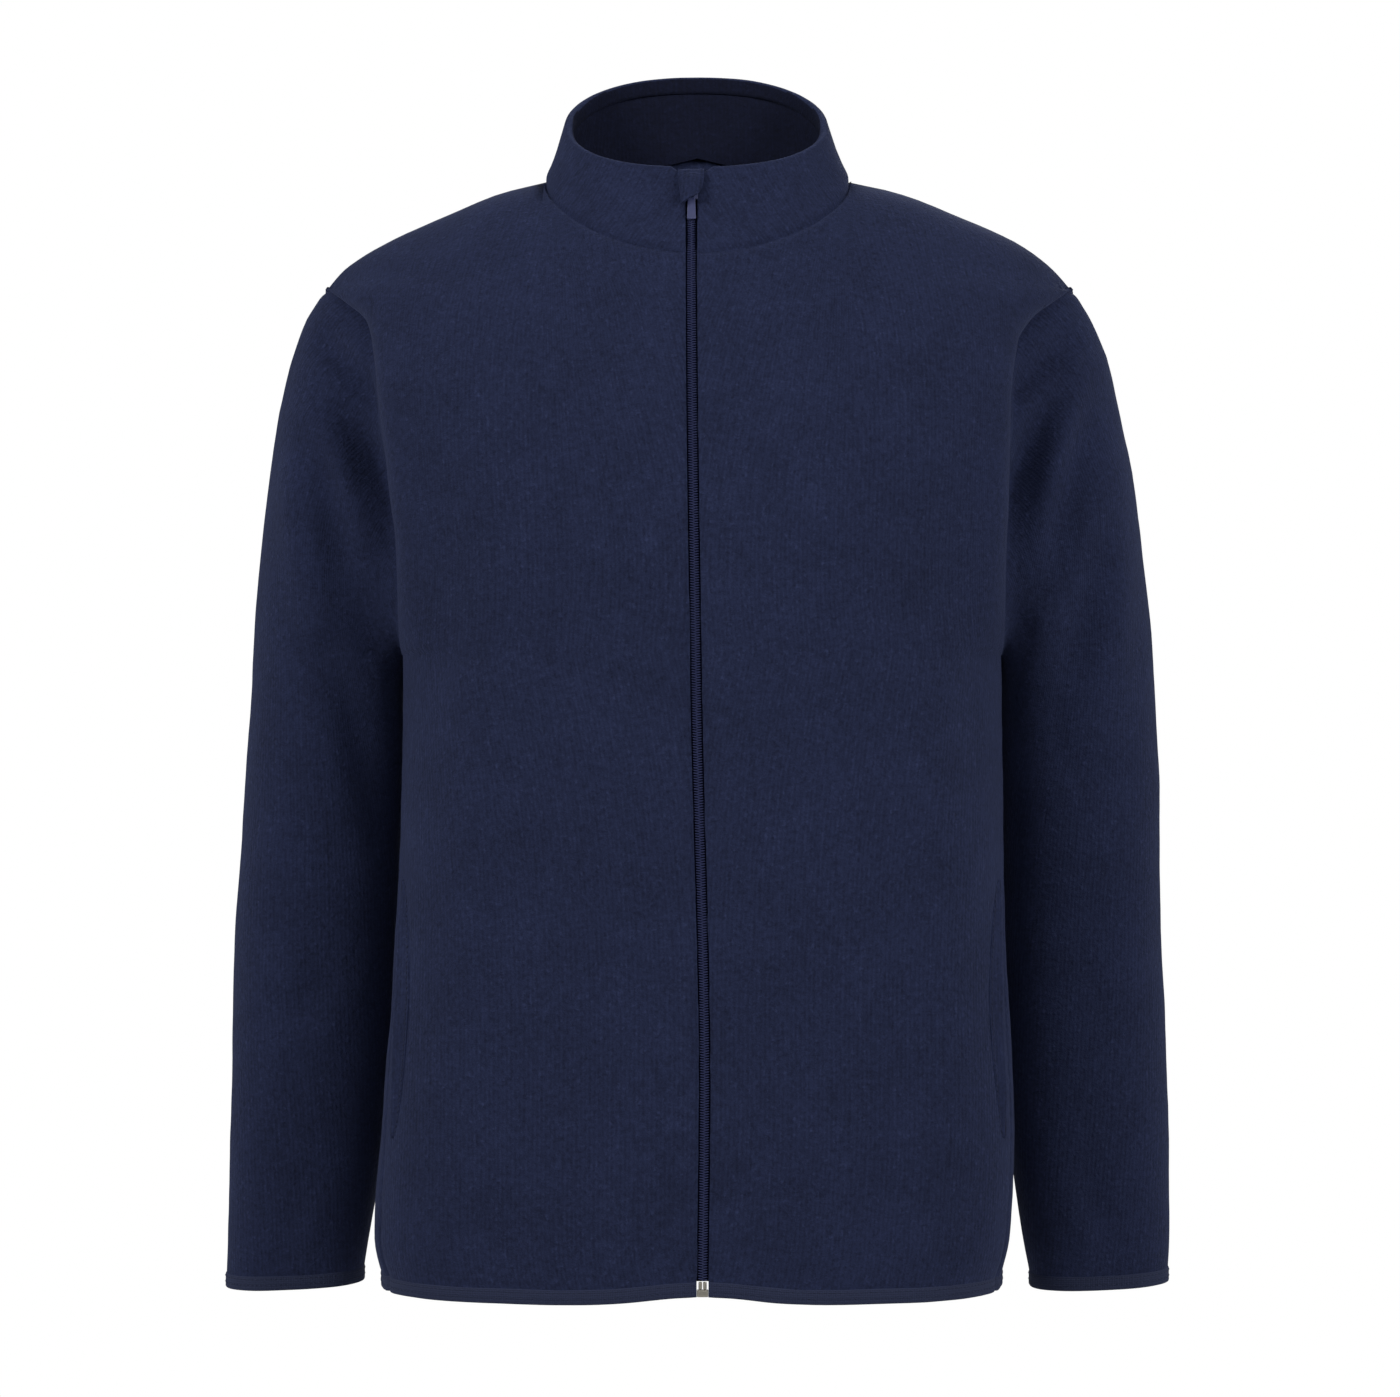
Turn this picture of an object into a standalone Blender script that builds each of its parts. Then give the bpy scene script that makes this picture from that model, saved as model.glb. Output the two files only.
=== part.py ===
"""A fleece jacket with a full-length zip, filled out as it is when worn, with no wearer in it.

Units are metres.  +Z is up and the front faces -Y, so the wearer's left is +X.  The origin is where
the wearer holds the jacket: level with the side neck points, midway between the shoulders.

Each cut piece of cloth is a grid of points on the outer face of the garment.  The pieces share the
points of their seams, so sew() can find one direction for both walls there, and then each piece is
drawn back from the seam by half of SEAM_GAP and given its thickness inwards.
"""

import math
from collections import namedtuple

import bmesh
import bpy
import numpy as np

WALL = 0.0022
SEAM_GAP = 0.0006
# How much further these pieces are drawn back where seams meet at a corner.
EXTRA_GAP = {"collar": 0.0008, "sleeve_left": 0.0012, "sleeve_right": 0.0009, "back": 0.0003}
BINDING_WALL = 0.0030
BINDING_DEPTH = 0.0080
RIGHT, LEFT = -1, 1
SIDES = {"right": RIGHT, "left": LEFT}

NECK_HALF = 0.098
FRONT_NECK_DROP = 0.0563
BACK_NECK_LEG = 0.49
NECK_SQUARENESS = 1.85
UNDERARM = -0.305
SHOULDER_POINT = -0.069
HEM = -0.7015
HEM_RISE_AT_ZIP = 0.005
RIDGE_Y = 0.008
FRONT_DEPTH = 0.143
BACK_DEPTH = 0.112
FRONT_CROWN, BACK_CROWN = 2.3, 3.0
CHEST_SQUARENESS, BACK_SQUARENESS = 2.6, 2.3

ARMHOLE_HALF_DEPTH = 0.064
ARMHOLE_SQUARENESS = 2.2
SLEEVE_SQUARENESS = 2.3
BODY_ROWS, ARMHOLE_STEPS, NECK_STEPS, SHOULDER_STEPS = 8, 10, 5, 5
CUFF_SLANT = 0.045

COLLAR_WIDTH_RIGHT, COLLAR_WIDTH_LEFT = 0.0855, 0.0840
COLLAR_FRONT, COLLAR_BACK, COLLAR_MIDDLE = -0.080, 0.070, -0.005
COLLAR_FRONT_TOP, COLLAR_BACK_TOP = -0.0020, 0.0749
COLLAR_FOLD = 0.0032
COLLAR_SQUARENESS = 2.2
COLLAR_ROWS, FOLD_STEPS = 3, 4
FACING_FOOT = 0.0115
FACING_END = 0.18
COLLAR_LEG = 0.0090

ZIP_OPENING = 0.0036
COIL_HALF = 0.0029
TAPE_WIDTH = 0.0075
TAPE_FRONT, TAPE_BACK = 0.0028, 0.0036
ZIP_SINK = 0.0004
ZIP_FOOT = -0.6868
ZIP_HEAD = -0.0165

# Heights below the underarm.  The halves are the half widths, front and back the depths from the
# middle, widest the y of the broadest point, and seam_turn how far the side seam lies in front of it.
Trunk = namedtuple("Trunk", "height right left front back widest seam_turn squareness")
TRUNK = (
    Trunk(-0.7015, 0.1965, 0.1900, 0.1460, 0.121, -0.030, 28, 3.2),
    Trunk(-0.6700, 0.2036, 0.1980, 0.1465, 0.121, -0.030, 26, 3.2),
    Trunk(-0.6100, 0.2005, 0.2008, 0.1465, 0.119, -0.030, 24, 3.1),
    Trunk(-0.5120, 0.1935, 0.1960, 0.1460, 0.116, -0.030, 20, 2.9),
    Trunk(-0.4350, 0.1890, 0.1940, 0.1455, 0.114, -0.029, 15, 2.8),
    Trunk(-0.3500, 0.1870, 0.1935, 0.1440, 0.112, -0.020, 6, 2.7),
    Trunk(-0.3050, 0.1880, 0.1940, 0.1430, 0.112, -0.012, 0, 2.6),
)

# The armhole seam from the underarm to the shoulder point: how far out it lies.
Armhole = namedtuple("Armhole", "height right left")
ARMHOLE = (
    Armhole(-0.305, 0.1880, 0.1940),
    Armhole(-0.245, 0.1885, 0.1935),
    Armhole(-0.195, 0.1935, 0.1950),
    Armhole(-0.142, 0.2005, 0.1965),
    Armhole(-0.108, 0.2050, 0.2015),
    Armhole(-0.092, 0.2100, 0.2115),
    Armhole(-0.080, 0.2240, 0.2265),
    Armhole(-0.069, 0.2400, 0.2420),
)

# The shoulder line, outwards from the neck: its height on each side.
Ridge = namedtuple("Ridge", "out right left")
RIDGE = (
    Ridge(0.000, 0.0280, 0.0280),
    Ridge(0.098, 0.0000, 0.0000),
    Ridge(0.125, -0.0065, -0.0055),
    Ridge(0.165, -0.0227, -0.0205),
    Ridge(0.200, -0.0390, -0.0357),
    Ridge(0.225, -0.0538, -0.0523),
    Ridge(0.240, -0.0690, -0.0670),
    Ridge(0.242, -0.0710, -0.0690),
)

# Rings of the sleeve from the armhole to the cuff.  Each crosses from its outer point to its inner.
Sleeve = namedtuple("Sleeve", "outer_z inner_z outer_right outer_left inner_right inner_left front back")
SLEEVE = (
    Sleeve(-0.069, -0.305, 0.2400, 0.2420, 0.1880, 0.1940, -0.066, 0.062),
    Sleeve(-0.088, -0.311, 0.2530, 0.2545, 0.1908, 0.1972, -0.060, 0.072),
    Sleeve(-0.115, -0.319, 0.2630, 0.2655, 0.1910, 0.1973, -0.055, 0.080),
    Sleeve(-0.155, -0.331, 0.2720, 0.2750, 0.1900, 0.1960, -0.049, 0.085),
    Sleeve(-0.205, -0.347, 0.2795, 0.2845, 0.1895, 0.1955, -0.043, 0.087),
    Sleeve(-0.265, -0.371, 0.2855, 0.2925, 0.1885, 0.1950, -0.038, 0.088),
    Sleeve(-0.335, -0.405, 0.2905, 0.2975, 0.1885, 0.1950, -0.034, 0.088),
    Sleeve(-0.410, -0.451, 0.2955, 0.3005, 0.1900, 0.1955, -0.030, 0.087),
    Sleeve(-0.490, -0.508, 0.3005, 0.3025, 0.1925, 0.1965, -0.026, 0.084),
    Sleeve(-0.560, -0.566, 0.3030, 0.3050, 0.1975, 0.1985, -0.020, 0.080),
    Sleeve(-0.625, -0.627, 0.3050, 0.3075, 0.2050, 0.2045, -0.012, 0.074),
    Sleeve(-0.670, -0.671, 0.3060, 0.3077, 0.2125, 0.2105, -0.008, 0.070),
    Sleeve(-0.7055, -0.7055, 0.3072, 0.3065, 0.2180, 0.2170, -0.005, 0.066),
)
SEAM_PULL = (1.0, 0.52, 0.20, 0.05)

# How far the zip line strays from the middle.
Drift = namedtuple("Drift", "height x")
ZIP_LINE = (
    Drift(-0.702, 0.0030),
    Drift(-0.565, 0.0044),
    Drift(-0.330, -0.0006),
    Drift(-0.055, -0.0037),
    Drift(0.010, -0.0037),
)

# Troughs pressed into the sleeves, as lines seen from the front, with the half width and depth of
# each.  Facing is -1 on the front of the sleeve and 1 on its back.
Fold = namedtuple("Fold", "side facing out_a z_a out_b z_b width depth")
FOLDS = (
    Fold(RIGHT, -1, 0.238, -0.118, 0.206, -0.150, 0.014, 0.0060),
    Fold(RIGHT, -1, 0.246, -0.150, 0.196, -0.235, 0.017, 0.0070),
    Fold(LEFT, -1, 0.238, -0.140, 0.204, -0.210, 0.014, 0.0080),
    Fold(LEFT, -1, 0.262, -0.145, 0.226, -0.255, 0.017, 0.0065),
    Fold(RIGHT, 1, 0.240, -0.130, 0.204, -0.200, 0.018, 0.0070),
    Fold(LEFT, 1, 0.244, -0.125, 0.206, -0.215, 0.018, 0.0070),
    Fold(LEFT, 1, 0.262, -0.170, 0.222, -0.270, 0.016, 0.0050),
)

POCKET_TOP, POCKET_END = -0.446, -0.605
WELT_WIDTH = 0.0100
WELT_THICK = 0.0016
WELT_ROWS, WELT_COLUMNS, WELT_END, WELT_INSET = 8, 2, 0.0022, 8.6
TURN_PER_METRE, SEAM_SHARE = 560, 0.9
BAG_WALL = 0.0012
BAG_FIRST_COLUMN, BAG_FIRST_ROW, BAG_LAST_ROW = 4, 1, 5

SLIDER_TOP = -0.0130
SLIDER_LENGTH, SLIDER_WIDTH, SLIDER_THICK = 0.0100, 0.0078, 0.0014
PLATE_CLEAR, PLATE_BACK = 0.0004, 0.0010
BRIDGE_ROOM, BRIDGE_WALL, BRIDGE_HALF = 0.0011, 0.0008, 0.0008
PULL_LENGTH, PULL_NARROW, PULL_WIDE, PULL_THICK = 0.0195, 0.0044, 0.0055, 0.0011
PULL_PIN_DROP, PULL_LEAN = 0.0048, 3.5
EYE_LENGTH, EYE_HALF = 0.0040, 0.0012
GUARD_THICK, GUARD_CLEAR, GUARD_BULGE = 0.0016, 0.0005, 0.0052
GUARD_COLUMNS, GUARD_REACH, GUARD_TIP_FALL = 8, 0.0090, 0.0050
METAL_EASE = 0.0004
BOX_WIDTH, BOX_HEIGHT, BOX_THICK = 0.0070, 0.0044, 0.0034
PIN_WIDTH, PIN_HEIGHT, PIN_THICK, PIN_OUT = 0.0022, 0.0044, 0.0024, 0.0014
COIL_CLEAR = 0.0004
HEM_CORNER = 0.0012

# The guard flap from its inner end over the collar's turned edge to its tip: how far down the zip each
# row lies, how far it has turned from facing inwards (180) to facing out (0), its edges either side of
# the zip line, and the share of the bulge over the slider that it has.
Guard = namedtuple("Guard", "down turn right left bulge tip")
GUARD = (
    Guard(0.0150, 180, 0.0078, 0.0074, 0.0, False),
    Guard(0.0000, 180, 0.0082, 0.0077, 0.0, False),
    Guard(0.0000, 135, 0.0083, 0.0078, 0.0, False),
    Guard(0.0000, 90, 0.0084, 0.0079, 0.0, False),
    Guard(0.0000, 45, 0.0085, 0.0079, 0.1, False),
    Guard(0.0000, 0, 0.0085, 0.0079, 0.3, False),
    Guard(0.0065, 0, 0.0083, 0.0076, 0.85, False),
    Guard(0.0125, 0, 0.0078, 0.0066, 1.0, False),
    Guard(0.0175, 0, 0.0072, 0.0050, 1.0, False),
    Guard(0.0205, 0, 0.0066, 0.0020, 1.0, True),
)

FLEECE = (0.0160, 0.0210, 0.0470, 1)
FLEECE_INSIDE = (0.0110, 0.0140, 0.0330, 1)
BINDING = (0.0220, 0.0270, 0.0600, 1)
TAPE = (0.0060, 0.0070, 0.0200, 1)
PULL_PAINT = (0.0900, 0.1000, 0.2200, 1)
NICKEL = (0.4600, 0.4300, 0.3600, 1)


def along(rows, column, at):
    """The named column at a place along the first column, on a smooth curve that never overshoots."""
    places = [row[0] for row in rows]
    values = [getattr(row, column) for row in rows]
    at = min(max(at, places[0]), places[-1])
    k = min(max(sum(place <= at for place in places) - 1, 0), len(rows) - 2)
    slopes = [(values[i + 1] - values[i]) / (places[i + 1] - places[i]) for i in range(len(rows) - 1)]

    def tangent(i):
        if i in (0, len(rows) - 1):
            return slopes[min(i, len(slopes) - 1)]
        before, after = slopes[i - 1], slopes[i]
        return 2 * before * after / (before + after) if before * after > 0 else 0.0

    span = places[k + 1] - places[k]
    t = (at - places[k]) / span
    start, end = tangent(k) * span, tangent(k + 1) * span
    return (
        values[k] * (1 + 2 * t) * (1 - t) ** 2
        + start * t * (1 - t) ** 2
        + values[k + 1] * t * t * (3 - 2 * t)
        + end * t * t * (t - 1)
    )


def squircle(turn, squareness):
    """(across, deep) at this many degrees from the broadest point of a rounded square of radius 1."""
    c, s = math.cos(math.radians(turn)), math.sin(math.radians(turn))
    scale = (abs(c) ** squareness + abs(s) ** squareness) ** (-1 / squareness)
    return c * scale, s * scale


def other_leg(part, squareness):
    return max(1 - abs(part) ** squareness, 0) ** (1 / squareness)


def smooth_step(t):
    t = min(max(t, 0), 1)
    return t * t * (3 - 2 * t)


def side_word(side):
    return "left" if side == LEFT else "right"


def shoulder_half(side):
    return getattr(ARMHOLE[-1], side_word(side))


def armhole_loop(side, angle):
    """The armhole seam, 0 degrees at the underarm, 180 at the shoulder; negative goes round the back."""
    middle, half = (SHOULDER_POINT + UNDERARM) / 2, (SHOULDER_POINT - UNDERARM) / 2
    up, out = squircle(abs(angle), ARMHOLE_SQUARENESS)
    z = middle - half * up
    rise = (z - UNDERARM) / (2 * half)
    centre = TRUNK[-1].widest + (RIDGE_Y - TRUNK[-1].widest) * rise
    forward = -1 if angle >= 0 else 1
    x = side * along(ARMHOLE, side_word(side), z)
    return np.array([x, centre + forward * ARMHOLE_HALF_DEPTH * out, z])


def armhole_y(facing, z):
    """The y of the armhole's front edge (facing -1) or back edge (facing 1) at this height."""
    if z >= SHOULDER_POINT:
        return RIDGE_Y
    middle, half = (SHOULDER_POINT + UNDERARM) / 2, (SHOULDER_POINT - UNDERARM) / 2
    rise = (z - UNDERARM) / (2 * half)
    centre = TRUNK[-1].widest + (RIDGE_Y - TRUNK[-1].widest) * rise
    return centre + facing * ARMHOLE_HALF_DEPTH * other_leg((z - middle) / half, ARMHOLE_SQUARENESS)


def zip_x(z):
    return along(ZIP_LINE, "x", z)


def front_edge(side, z):
    """The front edge's x, measured outwards on this side."""
    return side * zip_x(z) + ZIP_OPENING


def trunk_point(side, turn, z):
    """A point below the underarm; turn is 0 at the front edge, 90 at the broadest, 180 at centre back."""
    half = along(TRUNK, side_word(side), z)
    widest = along(TRUNK, "widest", z)
    if turn <= 90:
        across, deep = squircle(90 - turn, along(TRUNK, "squareness", z))
        edge = front_edge(side, z)
        x = edge + (half - edge) * across
        return np.array([side * x, widest - (widest + along(TRUNK, "front", z)) * deep, z])
    across, deep = squircle(turn - 90, BACK_SQUARENESS)
    return np.array([side * half * across, widest + (along(TRUNK, "back", z) - widest) * deep, z])


def chest_point(side, facing, across, z, ridge):
    """A point above the underarm.  Across is 0 at the middle and 1 at the armhole; ridge is the
    height of the shoulder line that this column closes on."""
    square = CHEST_SQUARENESS if facing < 0 else BACK_SQUARENESS
    crown = FRONT_CROWN if facing < 0 else BACK_CROWN
    depth = FRONT_DEPTH if facing < 0 else BACK_DEPTH
    near_edge = across**6
    top = shoulder_half(side)
    low = along(TRUNK, side_word(side), UNDERARM)
    easy = low + (top - low) * smooth_step((z - UNDERARM) / (SHOULDER_POINT - UNDERARM))
    half = easy + (along(ARMHOLE, side_word(side), z) - easy) * near_edge
    edge = front_edge(side, z) if facing < 0 else 0
    x = edge + (half - edge) * across
    rise = min(max((z - UNDERARM) / (ridge - UNDERARM), 0), 1)
    deep = other_leg(across, square) * other_leg(rise, crown)
    middle = TRUNK[-1].widest + (RIDGE_Y - TRUNK[-1].widest) * min(rise * 1.25, 1)
    base = middle + (armhole_y(facing, z) - middle) * across**4
    y = base + (facing * depth - base) * deep
    return np.array([side * x, y, z])


def column_tops(side, facing):
    """For each column from the middle outwards: (across, height of its top, height of its shoulder line)."""
    start = front_edge(side, -FRONT_NECK_DROP) if facing < 0 else 0
    outer = shoulder_half(side)
    parts = [math.sin(math.pi / 2 * i / NECK_STEPS) for i in range(NECK_STEPS + 1)]
    places = [start + (NECK_HALF - start) * part for part in parts]
    square = CHEST_SQUARENESS
    base = front_edge(side, SHOULDER_POINT)
    first = (NECK_HALF - base) / (outer - base)
    first_turn = math.degrees(math.atan2(other_leg(first, square), first))
    for i in range(1, SHOULDER_STEPS + 1):
        part = squircle(first_turn * (1 - i / SHOULDER_STEPS), square)[0]
        places.append(base + (outer - base) * part)
    tops = []
    for i, x in enumerate(places):
        ridge = along(RIDGE, side_word(side), x)
        if i < NECK_STEPS:
            arch = other_leg(x / NECK_HALF, NECK_SQUARENESS)
            if facing < 0:
                top = -FRONT_NECK_DROP * arch
            else:
                top = UNDERARM + (ridge - UNDERARM) * other_leg(BACK_NECK_LEG * arch, BACK_CROWN)
        else:
            top = ridge
        edge = front_edge(side, min(top, 0)) if facing < 0 else 0
        across = (x - edge) / (outer - edge)
        tops.append((min(across, 1), top, ridge))
    return tops


def body_columns(side, facing):
    """Grid [column][row] of one quarter of the body, from the middle outwards and from the hem up."""
    columns = []
    crown = FRONT_CROWN if facing < 0 else BACK_CROWN
    square = CHEST_SQUARENESS if facing < 0 else BACK_SQUARENESS
    for across, top, ridge in column_tops(side, facing):
        turn = math.degrees(math.atan2(other_leg(across, square), across))
        column = []
        for i in range(BODY_ROWS):
            z = hem_height(0) + BINDING_DEPTH
            z += (UNDERARM - z) * i / BODY_ROWS
            seam = along(TRUNK, "seam_turn", z)
            if facing < 0:
                here = (90 - turn) * (90 - seam) / 90
            else:
                here = 180 - (90 - turn) * (90 + seam) / 90
            point = trunk_point(side, here, z)
            if i == 0:
                z = hem_height(point[0]) + BINDING_DEPTH
                point = trunk_point(side, here, z)
            column.append(point)
        rise = (top - UNDERARM) / (ridge - UNDERARM)
        last = math.degrees(math.atan2(rise, other_leg(rise, crown)))
        for j in range(ARMHOLE_STEPS + 1):
            z = UNDERARM + (ridge - UNDERARM) * squircle(last * j / ARMHOLE_STEPS, crown)[1]
            plain = UNDERARM + (SHOULDER_POINT - UNDERARM) * squircle(90 * j / ARMHOLE_STEPS, crown)[1]
            loop = armhole_loop(side, -facing * 180 * j / ARMHOLE_STEPS)[2]
            z += (loop - plain) * across**8
            column.append(chest_point(side, facing, across, z, ridge))
        columns.append(column)
    return np.array(columns)


def hem_height(x):
    """The hem lifts a little at the zip."""
    return HEM + HEM_RISE_AT_ZIP * math.exp(-((x / 0.055) ** 2))


RingValue = namedtuple("RingValue", "ring value")


def sleeve_value(column, place):
    """A column of SLEEVE at a fractional ring number."""
    rings = [RingValue(i, getattr(row, column)) for i, row in enumerate(SLEEVE)]
    return along(rings, "value", place)


def flat_ring_point(side, place, angle):
    """A point of a sleeve ring, 0 degrees at its inner side, 180 at its outer side, going round the front."""
    word = side_word(side)
    outer = np.array([sleeve_value("outer_" + word, place), sleeve_value("outer_z", place)])
    inner = np.array([sleeve_value("inner_" + word, place), sleeve_value("inner_z", place)])
    in_out, depth = squircle(abs(angle), SLEEVE_SQUARENESS)
    x, z = (outer + inner) / 2 - (outer - inner) / 2 * in_out
    front, back = sleeve_value("front", place), sleeve_value("back", place)
    middle = (front + back) / 2
    y = middle + ((front if angle >= 0 else back) - middle) * depth
    slant = smooth_step((place - len(SLEEVE) + 4) / 3)
    z += CUFF_SLANT * side * (x - (outer[0] + inner[0]) / 2) * slant
    return np.array([side * x, y, z])


def sleeve_point(side, place, angle):
    """A sleeve ring, drawn to the armhole seam where it is near it."""
    point = flat_ring_point(side, place, angle)
    ring = int(place)
    if ring < len(SEAM_PULL):
        point += (armhole_loop(side, angle) - flat_ring_point(side, 0, angle)) * SEAM_PULL[ring]
    return point


def sleeve_grid(side):
    grid = []
    for k in range(2 * ARMHOLE_STEPS + 1):
        angle = 180 * k / ARMHOLE_STEPS
        if k > ARMHOLE_STEPS:
            angle -= 360
        grid.append([sleeve_point(side, ring, angle) for ring in range(len(SLEEVE))])
    return np.array(grid)


def press_folds(points, directions, side):
    """Presses each trough in, on the faces that look its way, leaving the seam ring alone."""
    pressed = points.copy()
    for fold in FOLDS:
        if fold.side != side:
            continue
        a = np.array([fold.out_a, fold.z_a])
        b = np.array([fold.out_b, fold.z_b])
        flat = np.stack([side * points[..., 0], points[..., 2]], axis=-1)
        t = np.clip(((flat - a) @ (b - a)) / ((b - a) @ (b - a)), 0, 1)
        reach = np.linalg.norm(flat - a - t[..., None] * (b - a), axis=-1) / fold.width
        facing = np.clip(directions[..., 1] * fold.facing, 0, 1)
        push = fold.depth * np.exp(-(reach**2)) * facing
        push[:, 0] = 0
        pressed -= directions * push[..., None]
    return pressed


def neck_line():
    """The neckline's points from the wearer's right front edge round the back to the left."""
    quarters = {(side, facing): body_columns(side, facing) for side in (RIGHT, LEFT) for facing in (-1, 1)}
    neck = slice(0, NECK_STEPS + 1)
    line = list(quarters[RIGHT, -1][neck, -1])
    line += list(quarters[RIGHT, 1][neck, -1][::-1][1:])
    line += list(quarters[LEFT, 1][neck, -1][1:])
    line += list(quarters[LEFT, -1][neck, -1][::-1][1:])
    return np.array(line)


def collar_rim():
    """The top of the collar's outer layer, one point above each point of the neckline."""
    rim = []
    for station in range(4 * NECK_STEPS + 1):
        side = RIGHT if station <= 2 * NECK_STEPS else LEFT
        step = station if side == RIGHT else 4 * NECK_STEPS - station
        out = math.sin(math.pi / 2 * step / NECK_STEPS)
        width = COLLAR_WIDTH_RIGHT if side == RIGHT else COLLAR_WIDTH_LEFT
        edge = front_edge(side, 0) if step < NECK_STEPS else 0
        x = edge + (width - edge) * out
        reach = COLLAR_FRONT if step < NECK_STEPS else COLLAR_BACK
        y = COLLAR_MIDDLE + (reach - COLLAR_MIDDLE) * other_leg(out, COLLAR_SQUARENESS)
        rise = (y - COLLAR_FRONT) / (COLLAR_BACK - COLLAR_FRONT)
        rim.append([side * x, y, COLLAR_FRONT_TOP + (COLLAR_BACK_TOP - COLLAR_FRONT_TOP) * rise])
    return np.array(rim)


def unit(vectors):
    return vectors / np.linalg.norm(vectors, axis=-1, keepdims=True)


def collar_frame():
    """(foot, rim, up, out) of the collar at each station."""
    foot, rim = neck_line(), collar_rim()
    up = unit(rim - foot)
    out = unit(np.cross(np.gradient(rim, axis=0), up))
    centre = np.array([0, COLLAR_MIDDLE, 0])
    if ((rim - centre) * out).sum() < 0:
        out = -out
    return foot, rim, up, out


def collar_grid():
    foot, rim, up, out = collar_frame()
    rows = [foot + (rim - foot) * i / COLLAR_ROWS for i in range(COLLAR_ROWS + 1)]
    for i in range(1, FOLD_STEPS + 1):
        turn = math.pi * i / FOLD_STEPS
        rows.append(rim + COLLAR_FOLD * (out * (math.cos(turn) - 1) + up * math.sin(turn)))
    rows.append(rim - 2 * COLLAR_FOLD * out - COLLAR_LEG * up)
    return np.array(rows).transpose(1, 0, 2)


def facing_grid():
    """The inner layer of the collar, from below the turned edge down to just above the neck seam."""
    foot, rim, up, out = collar_frame()
    inner = -2 * COLLAR_FOLD * out
    top = rim + inner - (COLLAR_LEG + SEAM_GAP) * up
    bottom = foot + inner + FACING_FOOT * up
    rows = [bottom + (top - bottom) * i / COLLAR_ROWS for i in range(COLLAR_ROWS + 1)]
    grid = np.array(rows).transpose(1, 0, 2)
    for end, beside in ((0, 1), (-1, -2)):
        grid[end] += (grid[beside] - grid[end]) * FACING_END
    return grid


def directions_of(points, core, closed):
    """Unit directions square to the grid, pointing away from the core."""
    if closed:
        ring = np.concatenate([points[-2:-1], points, points[1:2]])
        across = np.gradient(ring, axis=0)[1:-1]
    else:
        across = np.gradient(points, axis=0)
    found = unit(np.cross(across, np.gradient(points, axis=1)))
    if ((points - core) * found).sum() < 0:
        found = -found
    return found


class Piece:
    """A cut piece: a grid [column][row] of points on its outer face, and the way out at each."""

    def __init__(self, name, points, core, closed=False):
        self.name, self.points, self.closed = name, points, closed
        self.directions = directions_of(points, core, closed)
        self.stretch = np.ones(points.shape[:2])

    def rim(self):
        columns, rows = self.points.shape[:2]
        last = columns - 1
        places = [(i, j) for i in range(columns) for j in (0, rows - 1)]
        if not self.closed:
            places += [(i, j) for j in range(1, rows - 1) for i in (0, last)]
        return places

    def draw_back(self, distance):
        """Takes the edges back from the seams, along the grid."""
        points = self.points
        moved = points.copy()
        moved[:, 0] += unit(points[:, 1] - points[:, 0]) * distance
        moved[:, -1] += unit(points[:, -2] - points[:, -1]) * distance
        if not self.closed:
            moved[0] += unit(points[1] - points[0]) * distance
            moved[-1] += unit(points[-2] - points[-1]) * distance
        self.points = moved

    def inside(self, depth):
        return self.points - self.directions * (self.stretch * depth)[..., None]


def sew(pieces):
    """Gives the points that pieces share one direction, and lengthens the wall there to match."""
    where, points, directions = [], [], []
    for piece in pieces:
        for place in piece.rim():
            where.append((piece, place))
            points.append(piece.points[place])
            directions.append(piece.directions[place])
    points, directions = np.array(points), np.array(directions)
    for k, (piece, place) in enumerate(where):
        met = np.linalg.norm(points - points[k], axis=1) < 1e-5
        shared = unit(directions[met].sum(axis=0))
        piece.stretch[place] = min(1 / max(shared @ directions[k], 0.5), 1.35)
        piece.directions[place] = shared


def material(name, colour, roughness, metallic=0.0):
    made = bpy.data.materials.new(name)
    made.use_nodes = True
    shader = made.node_tree.nodes["Principled BSDF"]
    shader.inputs["Base Color"].default_value = colour
    shader.inputs["Roughness"].default_value = roughness
    shader.inputs["Metallic"].default_value = metallic
    return made


def place_object(name, bm, finish, at=(0, 0, 0)):
    """Puts the mesh in the scene under the hold, with its origin at this point."""
    bm.normal_update()
    bmesh.ops.recalc_face_normals(bm, faces=bm.faces)
    bmesh.ops.translate(bm, verts=bm.verts, vec=[-c for c in at])
    mesh = bpy.data.meshes.new(name)
    bm.to_mesh(mesh)
    bm.free()
    mesh.shade_smooth()
    mesh.set_sharp_from_angle(angle=math.radians(40))
    mesh.materials.append(finish)
    made = bpy.data.objects.new(name, mesh)
    made.location = at
    bpy.context.scene.collection.objects.link(made)
    return made


def numbered(bm, points):
    """Numbers the vertices and puts each at its point."""
    number = bm.verts.layers.int.get("number") or bm.verts.layers.int.new("number")
    for k, vert in enumerate(bm.verts):
        vert[number] = k
        vert.co = points[k]
    return number


def thicken(bm, number, points):
    """Extrudes every face and puts the new vertices at these points."""
    made = bmesh.ops.extrude_face_region(bm, geom=bm.faces[:])["geom"]
    for vert in made:
        if isinstance(vert, bmesh.types.BMVert):
            vert.co = points[vert[number]]


def cloth(name, outer, inner, finish, closed=False):
    """A wall between two grids of points."""
    columns, rows = outer.shape[:2]
    bm = bmesh.new()
    bmesh.ops.create_grid(bm, x_segments=columns - 1, y_segments=rows - 1, size=1)
    number = numbered(bm, outer.transpose(1, 0, 2).reshape(-1, 3))
    if closed:
        bmesh.ops.remove_doubles(bm, verts=bm.verts, dist=1e-6)
    thicken(bm, number, inner.transpose(1, 0, 2).reshape(-1, 3))
    return place_object(name, bm, finish)


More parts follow.
